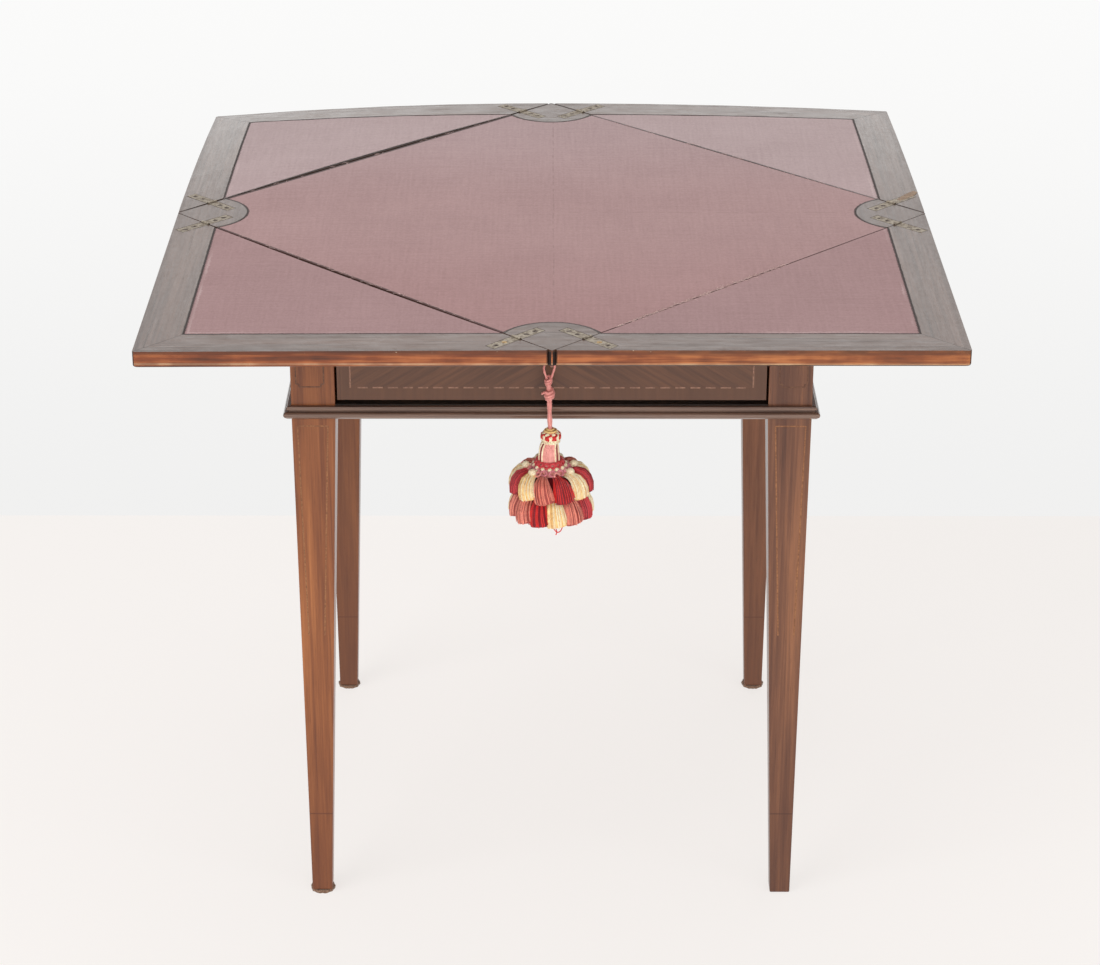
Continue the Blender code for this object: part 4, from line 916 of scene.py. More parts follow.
class Workpiece:
    """A piece on the bench: operators shape its bmesh until it is set down as an object."""

    def __init__(self) -> None:
        """Starts empty."""
        self.bm = bmesh.new()

    @classmethod
    def copy_of(cls, node: str) -> "Workpiece":
        """A merged copy of a CAD node.

        Args:
            node: The node's name.

        Returns:
            The copy, on the bench.
        """
        work = cls()
        bm = work.bm
        bm.from_mesh(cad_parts[node].data)
        bmesh.ops.remove_doubles(bm, verts=bm.verts[:], dist=MERGE)
        bmesh.ops.dissolve_limit(bm, angle_limit=FLAT_ANGLE, verts=bm.verts[:], edges=bm.edges[:])
        return work

    def tube(self, path: list[Vector], radius: float | Callable[[float], float], sides: int = 8,
             oval: float = 1.0, turns: float = 0.0, closed: bool = False,
             facing: Vector | None = None) -> None:
        """A cord, wire or strip, extruded ring by ring along a path.

        Args:
            path: The points of its middle line.
            radius: Its radius, or a function of the share of the path.
            sides: Sides of its section.
            oval: The section's other radius, as a share of the first.
            turns: How many times the section turns on the way.
            closed: Whether the end joins the start.
            facing: The way the section's X faces, for a strip.
        """
        frames = frames_along(path + path[:1] if closed else path, facing)
        if closed:
            frames[-1] = frames[0]
        count = len(frames) - 1
        places = []
        for number, place in enumerate(frames):
            share = number / count
            width = radius(share) if callable(radius) else radius
            spin = Matrix.Rotation(math.tau * turns * share, 4, "Z")
            places.append(place @ spin @ Matrix.Diagonal((width, width * oval, width, 1)))
        first = bmesh.ops.create_circle(self.bm, cap_ends=not closed, radius=1, segments=sides,
                                        matrix=places[0])["verts"]
        ring = list(dict.fromkeys(edge for vert in first for edge in vert.link_edges))
        made = list(first)
        for before, after in zip(places, places[1:]):
            grown = bmesh.ops.extrude_edge_only(self.bm, edges=ring)["geom"]
            verts = [item for item in grown if isinstance(item, bmesh.types.BMVert)]
            fresh = set(verts)
            edges = [item for item in grown if isinstance(item, bmesh.types.BMEdge)]
            ring = [edge for edge in edges if fresh.issuperset(edge.verts)]
            bmesh.ops.transform(self.bm, matrix=after @ before.inverted(), verts=verts)
            made += verts
        if closed:
            bmesh.ops.remove_doubles(self.bm, verts=made, dist=MERGE)
        else:
            bmesh.ops.edgeloop_fill(self.bm, edges=ring)

    def turned(self, profile: Iterable[tuple[float, float]], sides: int = 24,
               place: Matrix = Matrix.Identity(4)) -> list[bmesh.types.BMVert]:
        """A shape turned on the lathe about Z.

        Args:
            profile: Its (radius, height) points.
            sides: Steps round it.
            place: Where it goes.

        Returns:
            Its vertices.
        """
        known = set(self.bm.verts)
        verts = [self.bm.verts.new((out, 0, up)) for out, up in profile]
        edges = [self.bm.edges.new(pair) for pair in zip(verts, verts[1:])]
        bmesh.ops.spin(self.bm, geom=verts + edges, axis=(0, 0, 1), cent=(0, 0, 0), angle=math.tau,
                       steps=sides, use_merge=True)
        made = [vert for vert in self.bm.verts if vert not in known]
        bmesh.ops.remove_doubles(self.bm, verts=made, dist=MERGE)
        made = [vert for vert in self.bm.verts if vert not in known]
        bmesh.ops.transform(self.bm, matrix=place, verts=made)
        return made

    def ball(self, spot: Vector, radii: Vector, sides: int, rows: int) -> None:
        """A small round bead."""
        place = Matrix.Translation(spot) @ Matrix.Diagonal((*radii, 1))
        bmesh.ops.create_uvsphere(self.bm, u_segments=sides, v_segments=rows, radius=1, matrix=place)

    def slice_grid(self, spacing: float, low: Vector, high: Vector) -> None:
        """Cuts the piece across in X and Y, so that it can be bent or wrinkled.

        Args:
            spacing: Between cuts.
            low: Where they begin.
            high: Where they end.
        """
        for axis, normal in enumerate((Vector((1, 0, 0)), Vector((0, 1, 0)))):
            place = low[axis] + spacing
            while place < high[axis]:
                geometry = self.bm.verts[:] + self.bm.edges[:] + self.bm.faces[:]
                bmesh.ops.bisect_plane(self.bm, geom=geometry, plane_co=normal * place, plane_no=normal,
                                       dist=0.01 * MM)
                place += spacing

    def round_edges(self, chosen: Callable[[bmesh.types.BMEdge], bool], width: float,
                    segments: int) -> None:
        """Bevels some of the edges.

        Args:
            chosen: Says whether an edge is rounded.
            width: How far the bevel reaches.
            segments: Its steps.
        """
        edges = [edge for edge in self.bm.edges if chosen(edge)]
        bmesh.ops.bevel(self.bm, geom=edges, offset=width, offset_type="OFFSET", segments=segments,
                        profile=0.5, affect="EDGES", clamp_overlap=True, material=-1)

    def set_down(self, name: str, finish: bpy.types.Material, body: str, slot: str,
                 smooth: float | None = 40.0, outward: bool = True) -> bpy.types.Object:
        """Makes the object.

        Args:
            name: The piece's name.
            finish: Its material.
            body: The CAD body that it rides on.
            slot: Not used.
            smooth: The angle in degrees past which an edge stays sharp, or None for flat faces.
            outward: Whether the faces are turned outwards first.

        Returns:
            The object.
        """
        if outward:
            bmesh.ops.recalc_face_normals(self.bm, faces=self.bm.faces[:])
        mesh = bpy.data.meshes.new(name)
        self.bm.to_mesh(mesh)
        self.bm.free()
        mesh.materials.append(finish)
        if smooth is not None:
            mesh.shade_smooth()
            mesh.set_sharp_from_angle(angle=math.radians(smooth))
        made = bpy.data.objects.new(name, mesh)
        bpy.context.scene.collection.objects.link(made)
        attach(made, body)
        log.info("%s: %d faces, rides on %s", name, len(mesh.polygons), body)
        return made


def dress(finish: bpy.types.Material, *nodes: str) -> None:
    """Gives CAD nodes their finish.

    Args:
        finish: The material.
        nodes: The nodes' names.
    """
    for node in nodes:
        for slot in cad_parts[node].material_slots:
            slot.material = finish


def strands(name: str, paths: list[list[Vector]], radius: float, finish: bpy.types.Material, body: str,
            slot: str) -> bpy.types.Object:
    """Many fine threads as one piece.

    Args:
        name: The piece's name.
        paths: The points of each thread.
        radius: A thread's radius.
        finish: The material.
        body: The CAD body that it rides on.
        slot: Passed on to set_down, which does not use it.

    Returns:
        The object.
    """
    curve = bpy.data.curves.new(name, "CURVE")
    curve.dimensions = "3D"
    curve.bevel_depth = radius
    curve.bevel_resolution = 0
    curve.use_fill_caps = True
    for path in paths:
        spline = curve.splines.new("POLY")
        spline.points.add(len(path) - 1)
        for point, place in zip(spline.points, path):
            point.co = (*place, 1.0)
    source = bpy.data.objects.new(name + "_curve", curve)
    bpy.context.scene.collection.objects.link(source)
    bpy.context.view_layer.update()
    shape = bpy.data.meshes.new_from_object(source.evaluated_get(bpy.context.evaluated_depsgraph_get()))
    bpy.data.objects.remove(source)
    bpy.data.curves.remove(curve)
    work = Workpiece()
    work.bm.from_mesh(shape)
    bpy.data.meshes.remove(shape)
    return work.set_down(name, finish, body, slot, smooth=70.0)


# The studio


@dataclass(frozen=True)
class Lamp:
    """A soft square lamp: where it hangs, its side, its power in watts, and whether polish mirrors it."""

    name: str
    place: Point
    side: float
    power: float
    mirrored: bool = True


@dataclass
class Studio:
    """Camera, pale floor and backdrop, and soft light."""

    lens: float = 99.346
    sensor: float = 36.0
    camera_place: Point = (-0.0037, -3.2343, 1.8409)
    pitch: float = 24.063
    yaw: float = 0.038
    roll: float = -0.055
    floor_far: float = 0.77
    floor_near: float = -9.0
    floor_half: float = 8.0
    floor_look: Colour = tone(252, 248, 245)
    floor_glow: float = 0.75
    wall_low: float = 0.875
    wall_high: float = 0.965
    low_gloss: float = 0.14
    ambient: float = 0.42
    backdrop: Colour = (1.0, 0.998, 0.992)
    lamp_aim: Point = (0, 0, 0.55)
    lamps: tuple[Lamp, ...] = (
        Lamp("key", (-2.3, -2.2, 3.1), 2.6, 62.0),
        Lamp("front", (0.5, -3.4, 0.95), 1.6, 35.0, mirrored=False),
        Lamp("fill", (2.4, -2.6, 2.3), 2.4, 22.0, mirrored=False),
        Lamp("over", (0.2, 1.2, 3.6), 2.4, 26.0),
    )

    def build(self) -> None:
        """Sets up the whole studio."""
        self._camera()
        self._floor()
        self._world()
        for lamp in self.lamps:
            self._hang(lamp)
        bpy.context.scene.view_settings.view_transform = "Standard"

    def _camera(self) -> None:
        """Puts the camera where the photograph was taken from."""
        data = bpy.data.cameras.new("camera")
        data.sensor_width = self.sensor
        data.lens = self.lens
        data.clip_end = 100
        camera = bpy.data.objects.new("camera", data)
        look = Matrix.Rotation(math.radians(-self.yaw), 4, "Z")
        tilt = Matrix.Rotation(math.radians(90 - self.pitch), 4, "X")
        roll = Matrix.Rotation(math.radians(-self.roll), 4, "Z")
        camera.matrix_world = Matrix.Translation(self.camera_place) @ look @ tilt @ roll
        bpy.context.scene.collection.objects.link(camera)
        bpy.context.scene.camera = camera

    def _floor(self) -> None:
        """Lays the floor, whose own glow keeps the table's shadow pale."""
        half_depth = (self.floor_far - self.floor_near) / 2
        middle = (self.floor_far + self.floor_near) / 2
        bm = bmesh.new()
        bmesh.ops.create_grid(bm, x_segments=1, y_segments=1, size=1)
        bmesh.ops.scale(bm, vec=(self.floor_half, half_depth, 1), verts=bm.verts)
        bmesh.ops.translate(bm, vec=(0, middle, 0), verts=bm.verts)
        mesh = bpy.data.meshes.new("floor")
        bm.to_mesh(mesh)
        bm.free()
        floor = bpy.data.objects.new("floor", mesh)
        bpy.context.scene.collection.objects.link(floor)
        recipe = Recipe("studio_floor")
        camera, glossy, _ = recipe.rays()
        seen = camera.most(glossy)
        lit = recipe.output("ShaderNodeBsdfDiffuse", None, {0: self.floor_look})
        glow = recipe.output("ShaderNodeEmission", None, {0: self.floor_look, 1: 1.0})
        shaders = {0: seen * self.floor_glow, 1: lit, 2: glow}
        mixed = recipe.output("ShaderNodeMixShader", None, shaders)
        recipe.node("ShaderNodeOutputMaterial", None, {0: mixed})
        mesh.materials.append(recipe.material)

    def _world(self) -> None:
        """A pale backdrop for what is seen, and a dimmer light for what is lit."""
        world = bpy.data.worlds.new("studio")
        recipe = Recipe("studio", world)
        up = recipe.split(recipe.output("ShaderNodeTexCoord", port="Generated"))[2]
        camera, glossy, through = recipe.rays()
        seen = camera.most(glossy).most(through)
        wall = self.wall_low + up.rise(-0.43, -0.24) * (self.wall_high - self.wall_low)
        wall = wall + glossy * up.rise(0.38, 0.24) * up.rise(0.0, 0.05) * self.low_gloss
        strength = seen * wall + (1 - seen) * self.ambient
        light = recipe.output("ShaderNodeBackground", None, {0: self.backdrop, 1: strength})
        recipe.node("ShaderNodeOutputWorld", None, {0: light})
        bpy.context.scene.world = world

    def _hang(self, lamp: Lamp) -> None:
        """Hangs one lamp, aimed at the table.

        Args:
            lamp: The lamp.
        """
        data = bpy.data.lights.new(lamp.name, "AREA")
        data.shape = "SQUARE"
        data.size = lamp.side
        data.energy = lamp.power
        made = bpy.data.objects.new(lamp.name, data)
        turn = (Vector(self.lamp_aim) - Vector(lamp.place)).to_track_quat("-Z", "Y")
        made.matrix_world = Matrix.Translation(lamp.place) @ turn.to_matrix().to_4x4()
        made.visible_camera = False
        made.visible_glossy = lamp.mirrored
        bpy.context.scene.collection.objects.link(made)


# Sub-assemblies


@dataclass
class FrameWoods:
    """The fixed frame: legs, rails, mouldings, runners and pivot board."""

    def build(self) -> None:
        """Gives every fixed node its wood."""
        # Each leg has its own tones, set one by one: the front left is brightest, the front right and the
        # back legs are darker.
        legs = {
            "front_left": (tone(88, 38, 14), tone(137, 77, 37), tone(173, 106, 57)),
            "front_right": (tone(70, 34, 20), tone(112, 68, 44), tone(149, 96, 62)),
            "back_left": (tone(92, 46, 23), tone(119, 69, 39), tone(140, 84, 47)),
            "back_right": (tone(91, 49, 28), tone(123, 75, 47), tone(144, 89, 57)),
        }
        for corner, tones in legs.items():
            finish = Timber(f"leg_wood_{corner}", *tones, Grain.Z, 4.5 * MM, 190 * MM, 0.4, 0.3,
                            foot_darkening=0.4)
            dress(finish.material(), f"leg_{corner}")
        # The rail under the drawer is painted near-black: painted shade in the gap below the drawer.
        shadowed = Plain("rail_painted_shade", tone(24, 16, 13), tone(40, 28, 22), 160.0, 0.6, 0.05 * MM)
        dress(shadowed.material(), "rail_front_bottom")
        frieze = tone(75, 43, 30), tone(112, 69, 48), tone(141, 91, 63)
        moulding = tone(72, 50, 40), tone(112, 85, 71), tone(142, 111, 93)
        polished = {"streak": 2.5 * MM, "length": 140 * MM, "roughness": 0.3, "coat": 0.7}
        for prefix, grain, rails, mouldings in (
            ("", Grain.X, ("rail_back", "rail_front_top"), ("moulding_front", "moulding_back")),
            ("side_", Grain.Y, ("rail_left", "rail_right"), ("moulding_left", "moulding_right")),
        ):
            dress(Timber(prefix + "frieze_wood", *frieze, grain).material(), *rails)
            dress(Timber(prefix + "moulding_wood", *moulding, grain, **polished).material(), *mouldings)
        runner = tone(120, 84, 58), tone(166, 124, 90), tone(196, 156, 118)
        inside = Timber("secondary_wood", *runner, Grain.Y, 5 * MM, 200 * MM, 0.65, 0.0)
        dress(inside.material(), "drawer_runner_left", "drawer_runner_right")
        board = tone(120, 84, 58), tone(160, 118, 84), tone(190, 150, 112)
        across = Timber("pivot_board_wood", *board, Grain.X, 5 * MM, 220 * MM, 0.65, 0.0)
        dress(across.material(), "pivot_board")


def surface_point(node: str, origin: Vector, direction: Vector) -> Vector:
    """Where a line first meets a CAD node.

    Args:
        node: The node's name.
        origin: Where the line starts.
        direction: Which way it goes.

    Returns:
        The point, or the origin where there is none.
    """
    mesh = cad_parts[node].data
    corners = [vert.co for vert in mesh.vertices]
    faces = [list(face.vertices) for face in mesh.polygons]
    found = BVHTree.FromPolygons(corners, faces).ray_cast(origin, direction)[0]
    return found or origin


@dataclass
class LegInlay:
    """Stringing let into the front faces of the front legs and into their blocks."""

    line: float = 0.75 * MM
    proud: float = 0.06 * MM
    top_line: float = 580 * MM
    end_of_line: float = 330 * MM
    ray_start: float = 50 * MM
    outer_top: float = 270.2 * MM
    inner_top: float = 237.9 * MM
    outer_low: float = 265.8 * MM
    inner_low: float = 248.5 * MM
    block_low: float = 625 * MM
    block_high: float = 697 * MM
    block_in: float = 240.8 * MM
    block_out: float = 270.4 * MM
    notch: float = 3.2 * MM

    def build(self) -> None:
        """Lets the lines into both front legs."""
        bright = Plain("boxwood_line", tone(116, 70, 42), tone(160, 108, 68), 420.0, 0.5, 0.03 * MM)
        faint = Plain("worn_line", tone(84, 50, 34), tone(118, 78, 54), 260.0, 0.5, 0.03 * MM)
        finishes = bright.material(), faint.material()
        for side, sign in (("left", -1), ("right", 1)):
            self._leg(side, sign, finishes[0])
            self._block(side, sign, finishes[1])

    def _strip(self, work: Workpiece, node: str, ends: list[tuple[float, float]], steps: int = 1) -> None:
        """One line, laid on the face between points given as (x, z).

        Args:
            work: The piece that it joins.
            node: The leg that carries it.
            ends: Its corners.
            steps: How many parts each length is laid in.
        """
        for (x0, z0), (x1, z1) in zip(ends, ends[1:]):
            path = []
            for step in range(steps + 1):
                share = step / steps
                x, z = x0 + (x1 - x0) * share, z0 + (z1 - z0) * share
                start = Vector((x, FRAME_FRONT - self.ray_start, z))
                path.append(surface_point(node, start, Vector((0, 1, 0))))
            across = self._across(x0, z0, x1, z1)
            work.tube(path, self.line, 4, self.proud * 2 / self.line, facing=across)

    def _across(self, x0: float, z0: float, x1: float, z1: float) -> Vector:
        """The way across a line that lies on the leg's front face."""
        along = Vector((x1 - x0, 0, z1 - z0)).normalized()
        return along.cross(Vector((0, -1, 0)))

    def _leg(self, side: str, sign: int, finish: bpy.types.Material) -> None:
        """The open-bottomed panel on the taper.

        Args:
            side: Which leg.
            sign: -1 on the left, 1 on the right.
            finish: The lines' material.
        """
        node = f"leg_front_{side}"
        work = Workpiece()
        outer, inner = (sign * self.outer_top, self.top_line), (sign * self.inner_top, self.top_line)
        self._strip(work, node, [outer, inner])
        self._strip(work, node, [outer, (sign * self.outer_low, self.end_of_line)], 4)
        self._strip(work, node, [inner, (sign * self.inner_low, self.end_of_line)], 4)
        work.set_down(f"leg_stringing_{side}", finish, "frame", "drawer_lining", smooth=None)

    def _block(self, side: str, sign: int, finish: bpy.types.Material) -> None:
        """The panel with notched corners on the leg's block.

        Args:
            side: Which leg.
            sign: -1 on the left, 1 on the right.
            finish: The lines' material.
        """
        low, high = self.block_low, self.block_high
        near, far = sign * self.block_in, sign * self.block_out
        after_near, before_far = near + sign * self.notch, far - sign * self.notch
        above_low, below_high = low + self.notch, high - self.notch
        corners = [
            (after_near, low), (before_far, low), (before_far, above_low), (far, above_low),
            (far, below_high), (before_far, below_high), (before_far, high), (after_near, high),
            (after_near, below_high), (near, below_high), (near, above_low), (after_near, above_low),
            (after_near, low),
        ]
        work = Workpiece()
        self._strip(work, f"leg_front_{side}", corners)
        work.set_down(f"block_stringing_{side}", finish, "frame", "drawer_lining", smooth=None)


@dataclass
class FeltPads:
    """Worn felt pads under three of the feet."""

    fray: float = 0.9 * MM
    frayed_from: float = 0.8
    feet: tuple[str, ...] = ("front_left", "back_left", "back_right")

    def build(self) -> None:
        """Makes the three pads."""
        felt = Plain("worn_felt", tone(104, 74, 56), tone(172, 140, 118), 700.0, 1.0, 0.5 * MM, 0.3)
        finish = felt.material()
        for number, foot in enumerate(self.feet):
            node = f"felt_pad_{foot}"
            work = Workpiece.copy_of(node)
            bmesh.ops.triangulate(work.bm, faces=[face for face in work.bm.faces if len(face.verts) > 4])
            bmesh.ops.subdivide_edges(work.bm, edges=work.bm.edges[:], cuts=2, use_grid_fill=True)
            low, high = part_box(node)
            centre = (low + high) / 2
            for vert in work.bm.verts:
                out = Vector((vert.co.x - centre.x, vert.co.y - centre.y, 0))
                reach = out.length / ((high.x - low.x) / 2)
                wobble = noise.noise(vert.co * 420 + Vector((number * 7, 0, 0)))
                if reach > self.frayed_from:
                    vert.co += out.normalized() * wobble * self.fray
            pad = work.set_down(f"pad_{foot}", finish, "frame", "worn_felt", smooth=60.0)
            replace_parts(pad, node)


@dataclass
class CardTop:
    """The swivelling board, the four leaves and their cloths."""

    arris: float = 0.8 * MM
    tip_round: float = 2.6 * MM
    frays: tuple[tuple[int, float, float], ...] = (
        (60, 0.075, 0.345), (240, 0.065, 0.250), (24, 0.075, 0.345), (30, 0.075, 0.345),
    )
    fray: float = 0.16 * MM
    fray_reach: float = 2.2 * MM
    tear: Profile = ((394, 45), (400, 53), (406, 61), (412, 69), (416.5, 76))
    tear_seed: int = 6
    wood_grid: float = 40 * MM
    grid: float = 13 * MM
    wrinkle: float = 0.24 * MM
    board_cut: tuple[float, float] = (0.594, 0.594)
    board_area: float = 0.325
    leaf_cut: tuple[float, float] = (0.458, 0.229)
    leaf_area: float = 0.0526
    # The cloths pale towards the back, and the back leaves' cloth is paler than the front leaves': painted
    # sheen.
    board_cloth: Tones = ((0.372, 0.205, 0.200), (0.400, 0.243, 0.238), (0.424, 0.290, 0.291))
    front_cloth: Tones = ((0.355, 0.208, 0.207), (0.365, 0.216, 0.215), (0.365, 0.216, 0.215))
    back_cloth: Tones = ((0.455, 0.330, 0.330), (0.455, 0.330, 0.330), (0.465, 0.345, 0.345))
    pale_cut: Colour = (0.50, 0.43, 0.42)
    woods: Tones = ((0.047, 0.020, 0.010), (0.091, 0.038, 0.018), (0.143, 0.064, 0.034))

    def build(self) -> None:
        """Dresses the woods and makes the five cloths."""
        wood = TopTimber("top_wood", *self.woods, Grain.X, 3.2 * MM, 170 * MM, 0.30, 0.72).material()
        for node in ("top_board", *(f"leaf_{leaf}" for leaf in LEAVES)):
            self._rounded(node, wood)
        front = Baize("mauve_baize_front", *self.front_cloth).material()
        back = Baize("mauve_baize_back", *self.back_cloth, cut=self.pale_cut).material()
        board = Baize("mauve_baize", *self.board_cloth, crease=True).material()
        self._cloth("top_cloth", "board_cloth", board, "top")
        for leaf in LEAVES:
            finish = front if leaf.startswith("front") else back
            body = f"leaf_{leaf}"
            self._cloth(f"leaf_cloth_{leaf}", f"cloth_{leaf}", finish, body)
        self._frays()
        self._torn_wood()

    def _rounded(self, node: str, finish: bpy.types.Material) -> None:
        """A copy of the board or a leaf, with its outer arrises and the tips of the leaf rounded over.

        Args:
            node: The CAD node.
            finish: Its wood.
        """
        work = Workpiece.copy_of(node)
        work.slice_grid(self.wood_grid, *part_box(node))
        outer = OPEN_HALF - 0.4 * MM

        def on_rim(edge: bmesh.types.BMEdge) -> bool:
            """Whether an edge of some length is on the open top's outer rim."""
            ends_on = all(max(abs(end.co.x), abs(end.co.y)) > outer for end in edge.verts)
            return ends_on and edge.calc_length() > 5 * MM

        def outer_arris(edge: bmesh.types.BMEdge) -> bool:
            """Whether an edge is an arris of the rim."""
            turns = len(edge.link_faces) == 2 and edge.calc_face_angle() > math.radians(60)
            return turns and on_rim(edge)

        def tip(edge: bmesh.types.BMEdge) -> bool:
            """Whether an edge runs down the end of a leaf, beside the board's own tip."""
            beside = all(3 * MM < min(abs(end.co.x), abs(end.co.y)) < 8 * MM for end in edge.verts)
            return beside and on_rim(edge)

        work.round_edges(tip, self.tip_round, 3)
        work.round_edges(outer_arris, self.arris, 2)
        body = "top" if node == "top_board" else node
        made = work.set_down(node + "_wood", finish, body, "mahogany", smooth=12.0, outward=False)
        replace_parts(made, node)

    def _cloth(self, node: str, name: str, finish: bpy.types.Material, body: str) -> None:
        """One glued cloth, a little wrinkled along its borders.

        Args:
            node: The CAD cloth that it replaces.
            name: Its own name.
            finish: The cloth.
            body: What it rides on.
        """
        work = Workpiece.copy_of(node)
        low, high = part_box(node)
        work.slice_grid(self.grid, low, high)
        seed = Vector((len(name) * 3.1, 0, 0))
        for vert in work.bm.verts:
            if vert.normal.z > 0.5 or vert.co.z > high.z - 0.05 * MM:
                reach = max(abs(vert.co.x), abs(vert.co.y))
                border = 1 + 2.0 * math.exp(-abs(CLOTH_EDGE - reach) / 0.02)
                vert.co.z += self.wrinkle * border * 0.5 * noise.noise(vert.co * 24 + seed)
        made = work.set_down(name, finish, body, "mauve_cloth", smooth=50.0)
        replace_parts(made, node)

    def _frays(self) -> None:
        """Pale cut threads along the board's cloth, where its edges at the seams have frayed."""
        dice = random.Random(23)
        corner = SEAM_HALF * math.sqrt(2)
        paths = []
        for (count, start, end), (side, depth) in zip(self.frays, CORNERS):
            for _ in range(count):
                along = dice.uniform(start, end)
                inward = dice.uniform(0.0, 1.0) ** 2 * self.fray_reach
                spot = Vector((side * along, depth * (corner - along), TOP))
                spot -= Vector((side, depth, 0)) * inward * DIAGONAL
                turn = math.atan2(-depth, side) + dice.gauss(0, 0.5)
                way = Vector((math.cos(turn), math.sin(turn), 0)) * dice.uniform(2.5, 8.0) * MM
                rise = Vector((0, 0, dice.uniform(0.2, 0.7) * MM))
                paths.append([spot, spot + way * 0.5 + rise, spot + way])
        pale = Silk("frayed_thread", tone(212, 182, 176), along_z=False, sheen=0.2, roughness=0.8)
        strands("frayed_threads", paths, self.fray, pale.material(), "top", "mauve_cloth")

    def _torn_wood(self) -> None:
        """A lump of torn wood and old glue over the end of one hinge plate."""
        tones = tone(92, 70, 54), tone(140, 114, 92), tone(172, 148, 122)
        torn = Timber("torn_wood", *tones, Grain.X, 1.4 * MM, 12 * MM, 0.6, 0.0)

        def half_width(share: float) -> float:
            """Half the lump's width, widest past its middle."""
            return (1.4 + 3.6 * math.sin(math.pi * (0.1 + 0.72 * share))) * MM

        lump = Workpiece()
        path = [Vector((x * MM, y * MM, TOP + 0.04 * MM)) for x, y in self.tear]
        lump.tube(smoothed(path, 4), half_width, 16, 0.07, facing=Vector((1, -1, 0)).normalized())
        noise.seed_set(self.tear_seed)
        for vert in lump.bm.verts:
            ragged = noise.noise_vector(vert.co * 300) * 1.5 * MM
            vert.co += Vector((ragged.x, ragged.y, ragged.z * 0.06))
        lump.set_down("torn_wood", torn.material(), "leaf_back_right", "mahogany", smooth=25.0)


@dataclass
class StrapHinges:
    """Finish of the sixteen hinge plates, and the screws that hold them, two of them brass."""

    inner_holes: tuple[float, float] = (26 * MM, 14 * MM)
    outer_holes: tuple[float, float] = (29 * MM, 17 * MM)
    head_radius: float = 2.85 * MM
    head_depth: float = 0.75 * MM
    head_taper: float = 0.79
    head_sunk: float = 0.45 * MM
    slot_half: float = 0.42 * MM
    slot_depth: float = 0.55 * MM
    unevenness: float = 0.02
    brass_screws: tuple[tuple[str, str], ...] = (("front_left", "b"), ("front_right", "a"))

    def build(self) -> None:
        """Dresses the plates and drives in the screws."""
        plate = AgedMetal("aged_strap", tone(160, 150, 135), tone(122, 110, 97), tone(66, 53, 45), 0.44)
        iron = AgedMetal("screw_iron", tone(120, 108, 98), tone(72, 60, 52), tone(38, 30, 26), 0.42)
        brass = AgedMetal("screw_brass", tone(196, 168, 120), tone(150, 120, 84), tone(90, 66, 48))
        plate_finish = plate.material()
        iron_finish = iron.material()
        brass_finish = brass.material()
        dice = random.Random(11)
        on_board = Workpiece()
        for leaf, degrees in LEAVES.items():
            on_leaf = Workpiece()
            bright = Workpiece()
            turn = Matrix.Rotation(math.radians(degrees), 4, "Z")
            axis = Vector((math.hypot(LEAF_ORIGIN, LEAF_ORIGIN), 0, AXIS_HEIGHT))
            home = Matrix.Translation(turn @ axis) @ turn
            for label, end in (("a", -1), ("b", 1)):
                dress(plate_finish, f"hinge_{leaf}_{label}_inner", f"hinge_{leaf}_{label}_outer")
                for out in self.inner_holes:
                    self._screw(on_board, home, -out, end * HINGE_PLACE, dice)
                for number, out in enumerate(self.outer_holes):
                    shiny = number == 1 and (leaf, label) in self.brass_screws
                    self._screw(bright if shiny else on_leaf, home, out, end * HINGE_PLACE, dice)
            on_leaf.set_down(f"screws_{leaf}", iron_finish, f"leaf_{leaf}", "old_iron", smooth=30.0)
            if bright.bm.verts:
                bright.set_down(f"bright_screw_{leaf}", brass_finish, f"leaf_{leaf}", "aged_brass",
                                smooth=30.0)
        on_board.set_down("screws_board", iron_finish, "top", "old_iron", smooth=30.0)

    def _screw(self, work: Workpiece, home: Matrix, out: float, along: float, dice: random.Random) -> None:
        """One countersunk head, turned to its own angle.

        Args:
            work: The piece that it joins.
            home: The leaf's own space.
            out: How far out from the hinge line.
            along: How far along the seam.
            dice: Where its angle comes from.
        """
        single = bmesh.new()
        bmesh.ops.create_circle(single, cap_ends=True, radius=self.head_radius, segments=14)
        for side in (-1, 1):
            geometry = single.verts[:] + single.edges[:] + single.faces[:]
            bmesh.ops.bisect_plane(single, geom=geometry, plane_co=(0, side * self.slot_half, 0),
                                   plane_no=(0, 1, 0))
        rim = [edge for edge in single.edges if edge.is_boundary]
        slot = [face for face in single.faces if abs(face.calc_center_median().y) < self.slot_half * 0.5]
        sunk = bmesh.ops.extrude_discrete_faces(single, faces=slot)["faces"]
        bmesh.ops.translate(single, vec=(0, 0, -self.slot_depth), verts=sunk[0].verts[:])
        skirt = bmesh.ops.extrude_edge_only(single, edges=[edge for edge in rim if edge.is_valid])["geom"]
        low = [item for item in skirt if isinstance(item, bmesh.types.BMVert)]
        bmesh.ops.translate(single, vec=(0, 0, -self.head_depth), verts=low)
        bmesh.ops.scale(single, vec=(self.head_taper, self.head_taper, 1), verts=low)
        bmesh.ops.recalc_face_normals(single, faces=single.faces[:])
        place = home @ Matrix.Translation((out, along, -self.head_sunk))
        spin = Matrix.Rotation(dice.uniform(0, math.pi), 4, "Z")
        lean = Matrix.Rotation(dice.uniform(-self.unevenness, self.unevenness), 4, "X")
        bmesh.ops.transform(single, matrix=place @ spin @ lean, verts=single.verts[:])
        holder = bpy.data.meshes.new("screw")
        single.to_mesh(holder)
        single.free()
        work.bm.from_mesh(holder)
        bpy.data.meshes.remove(holder)


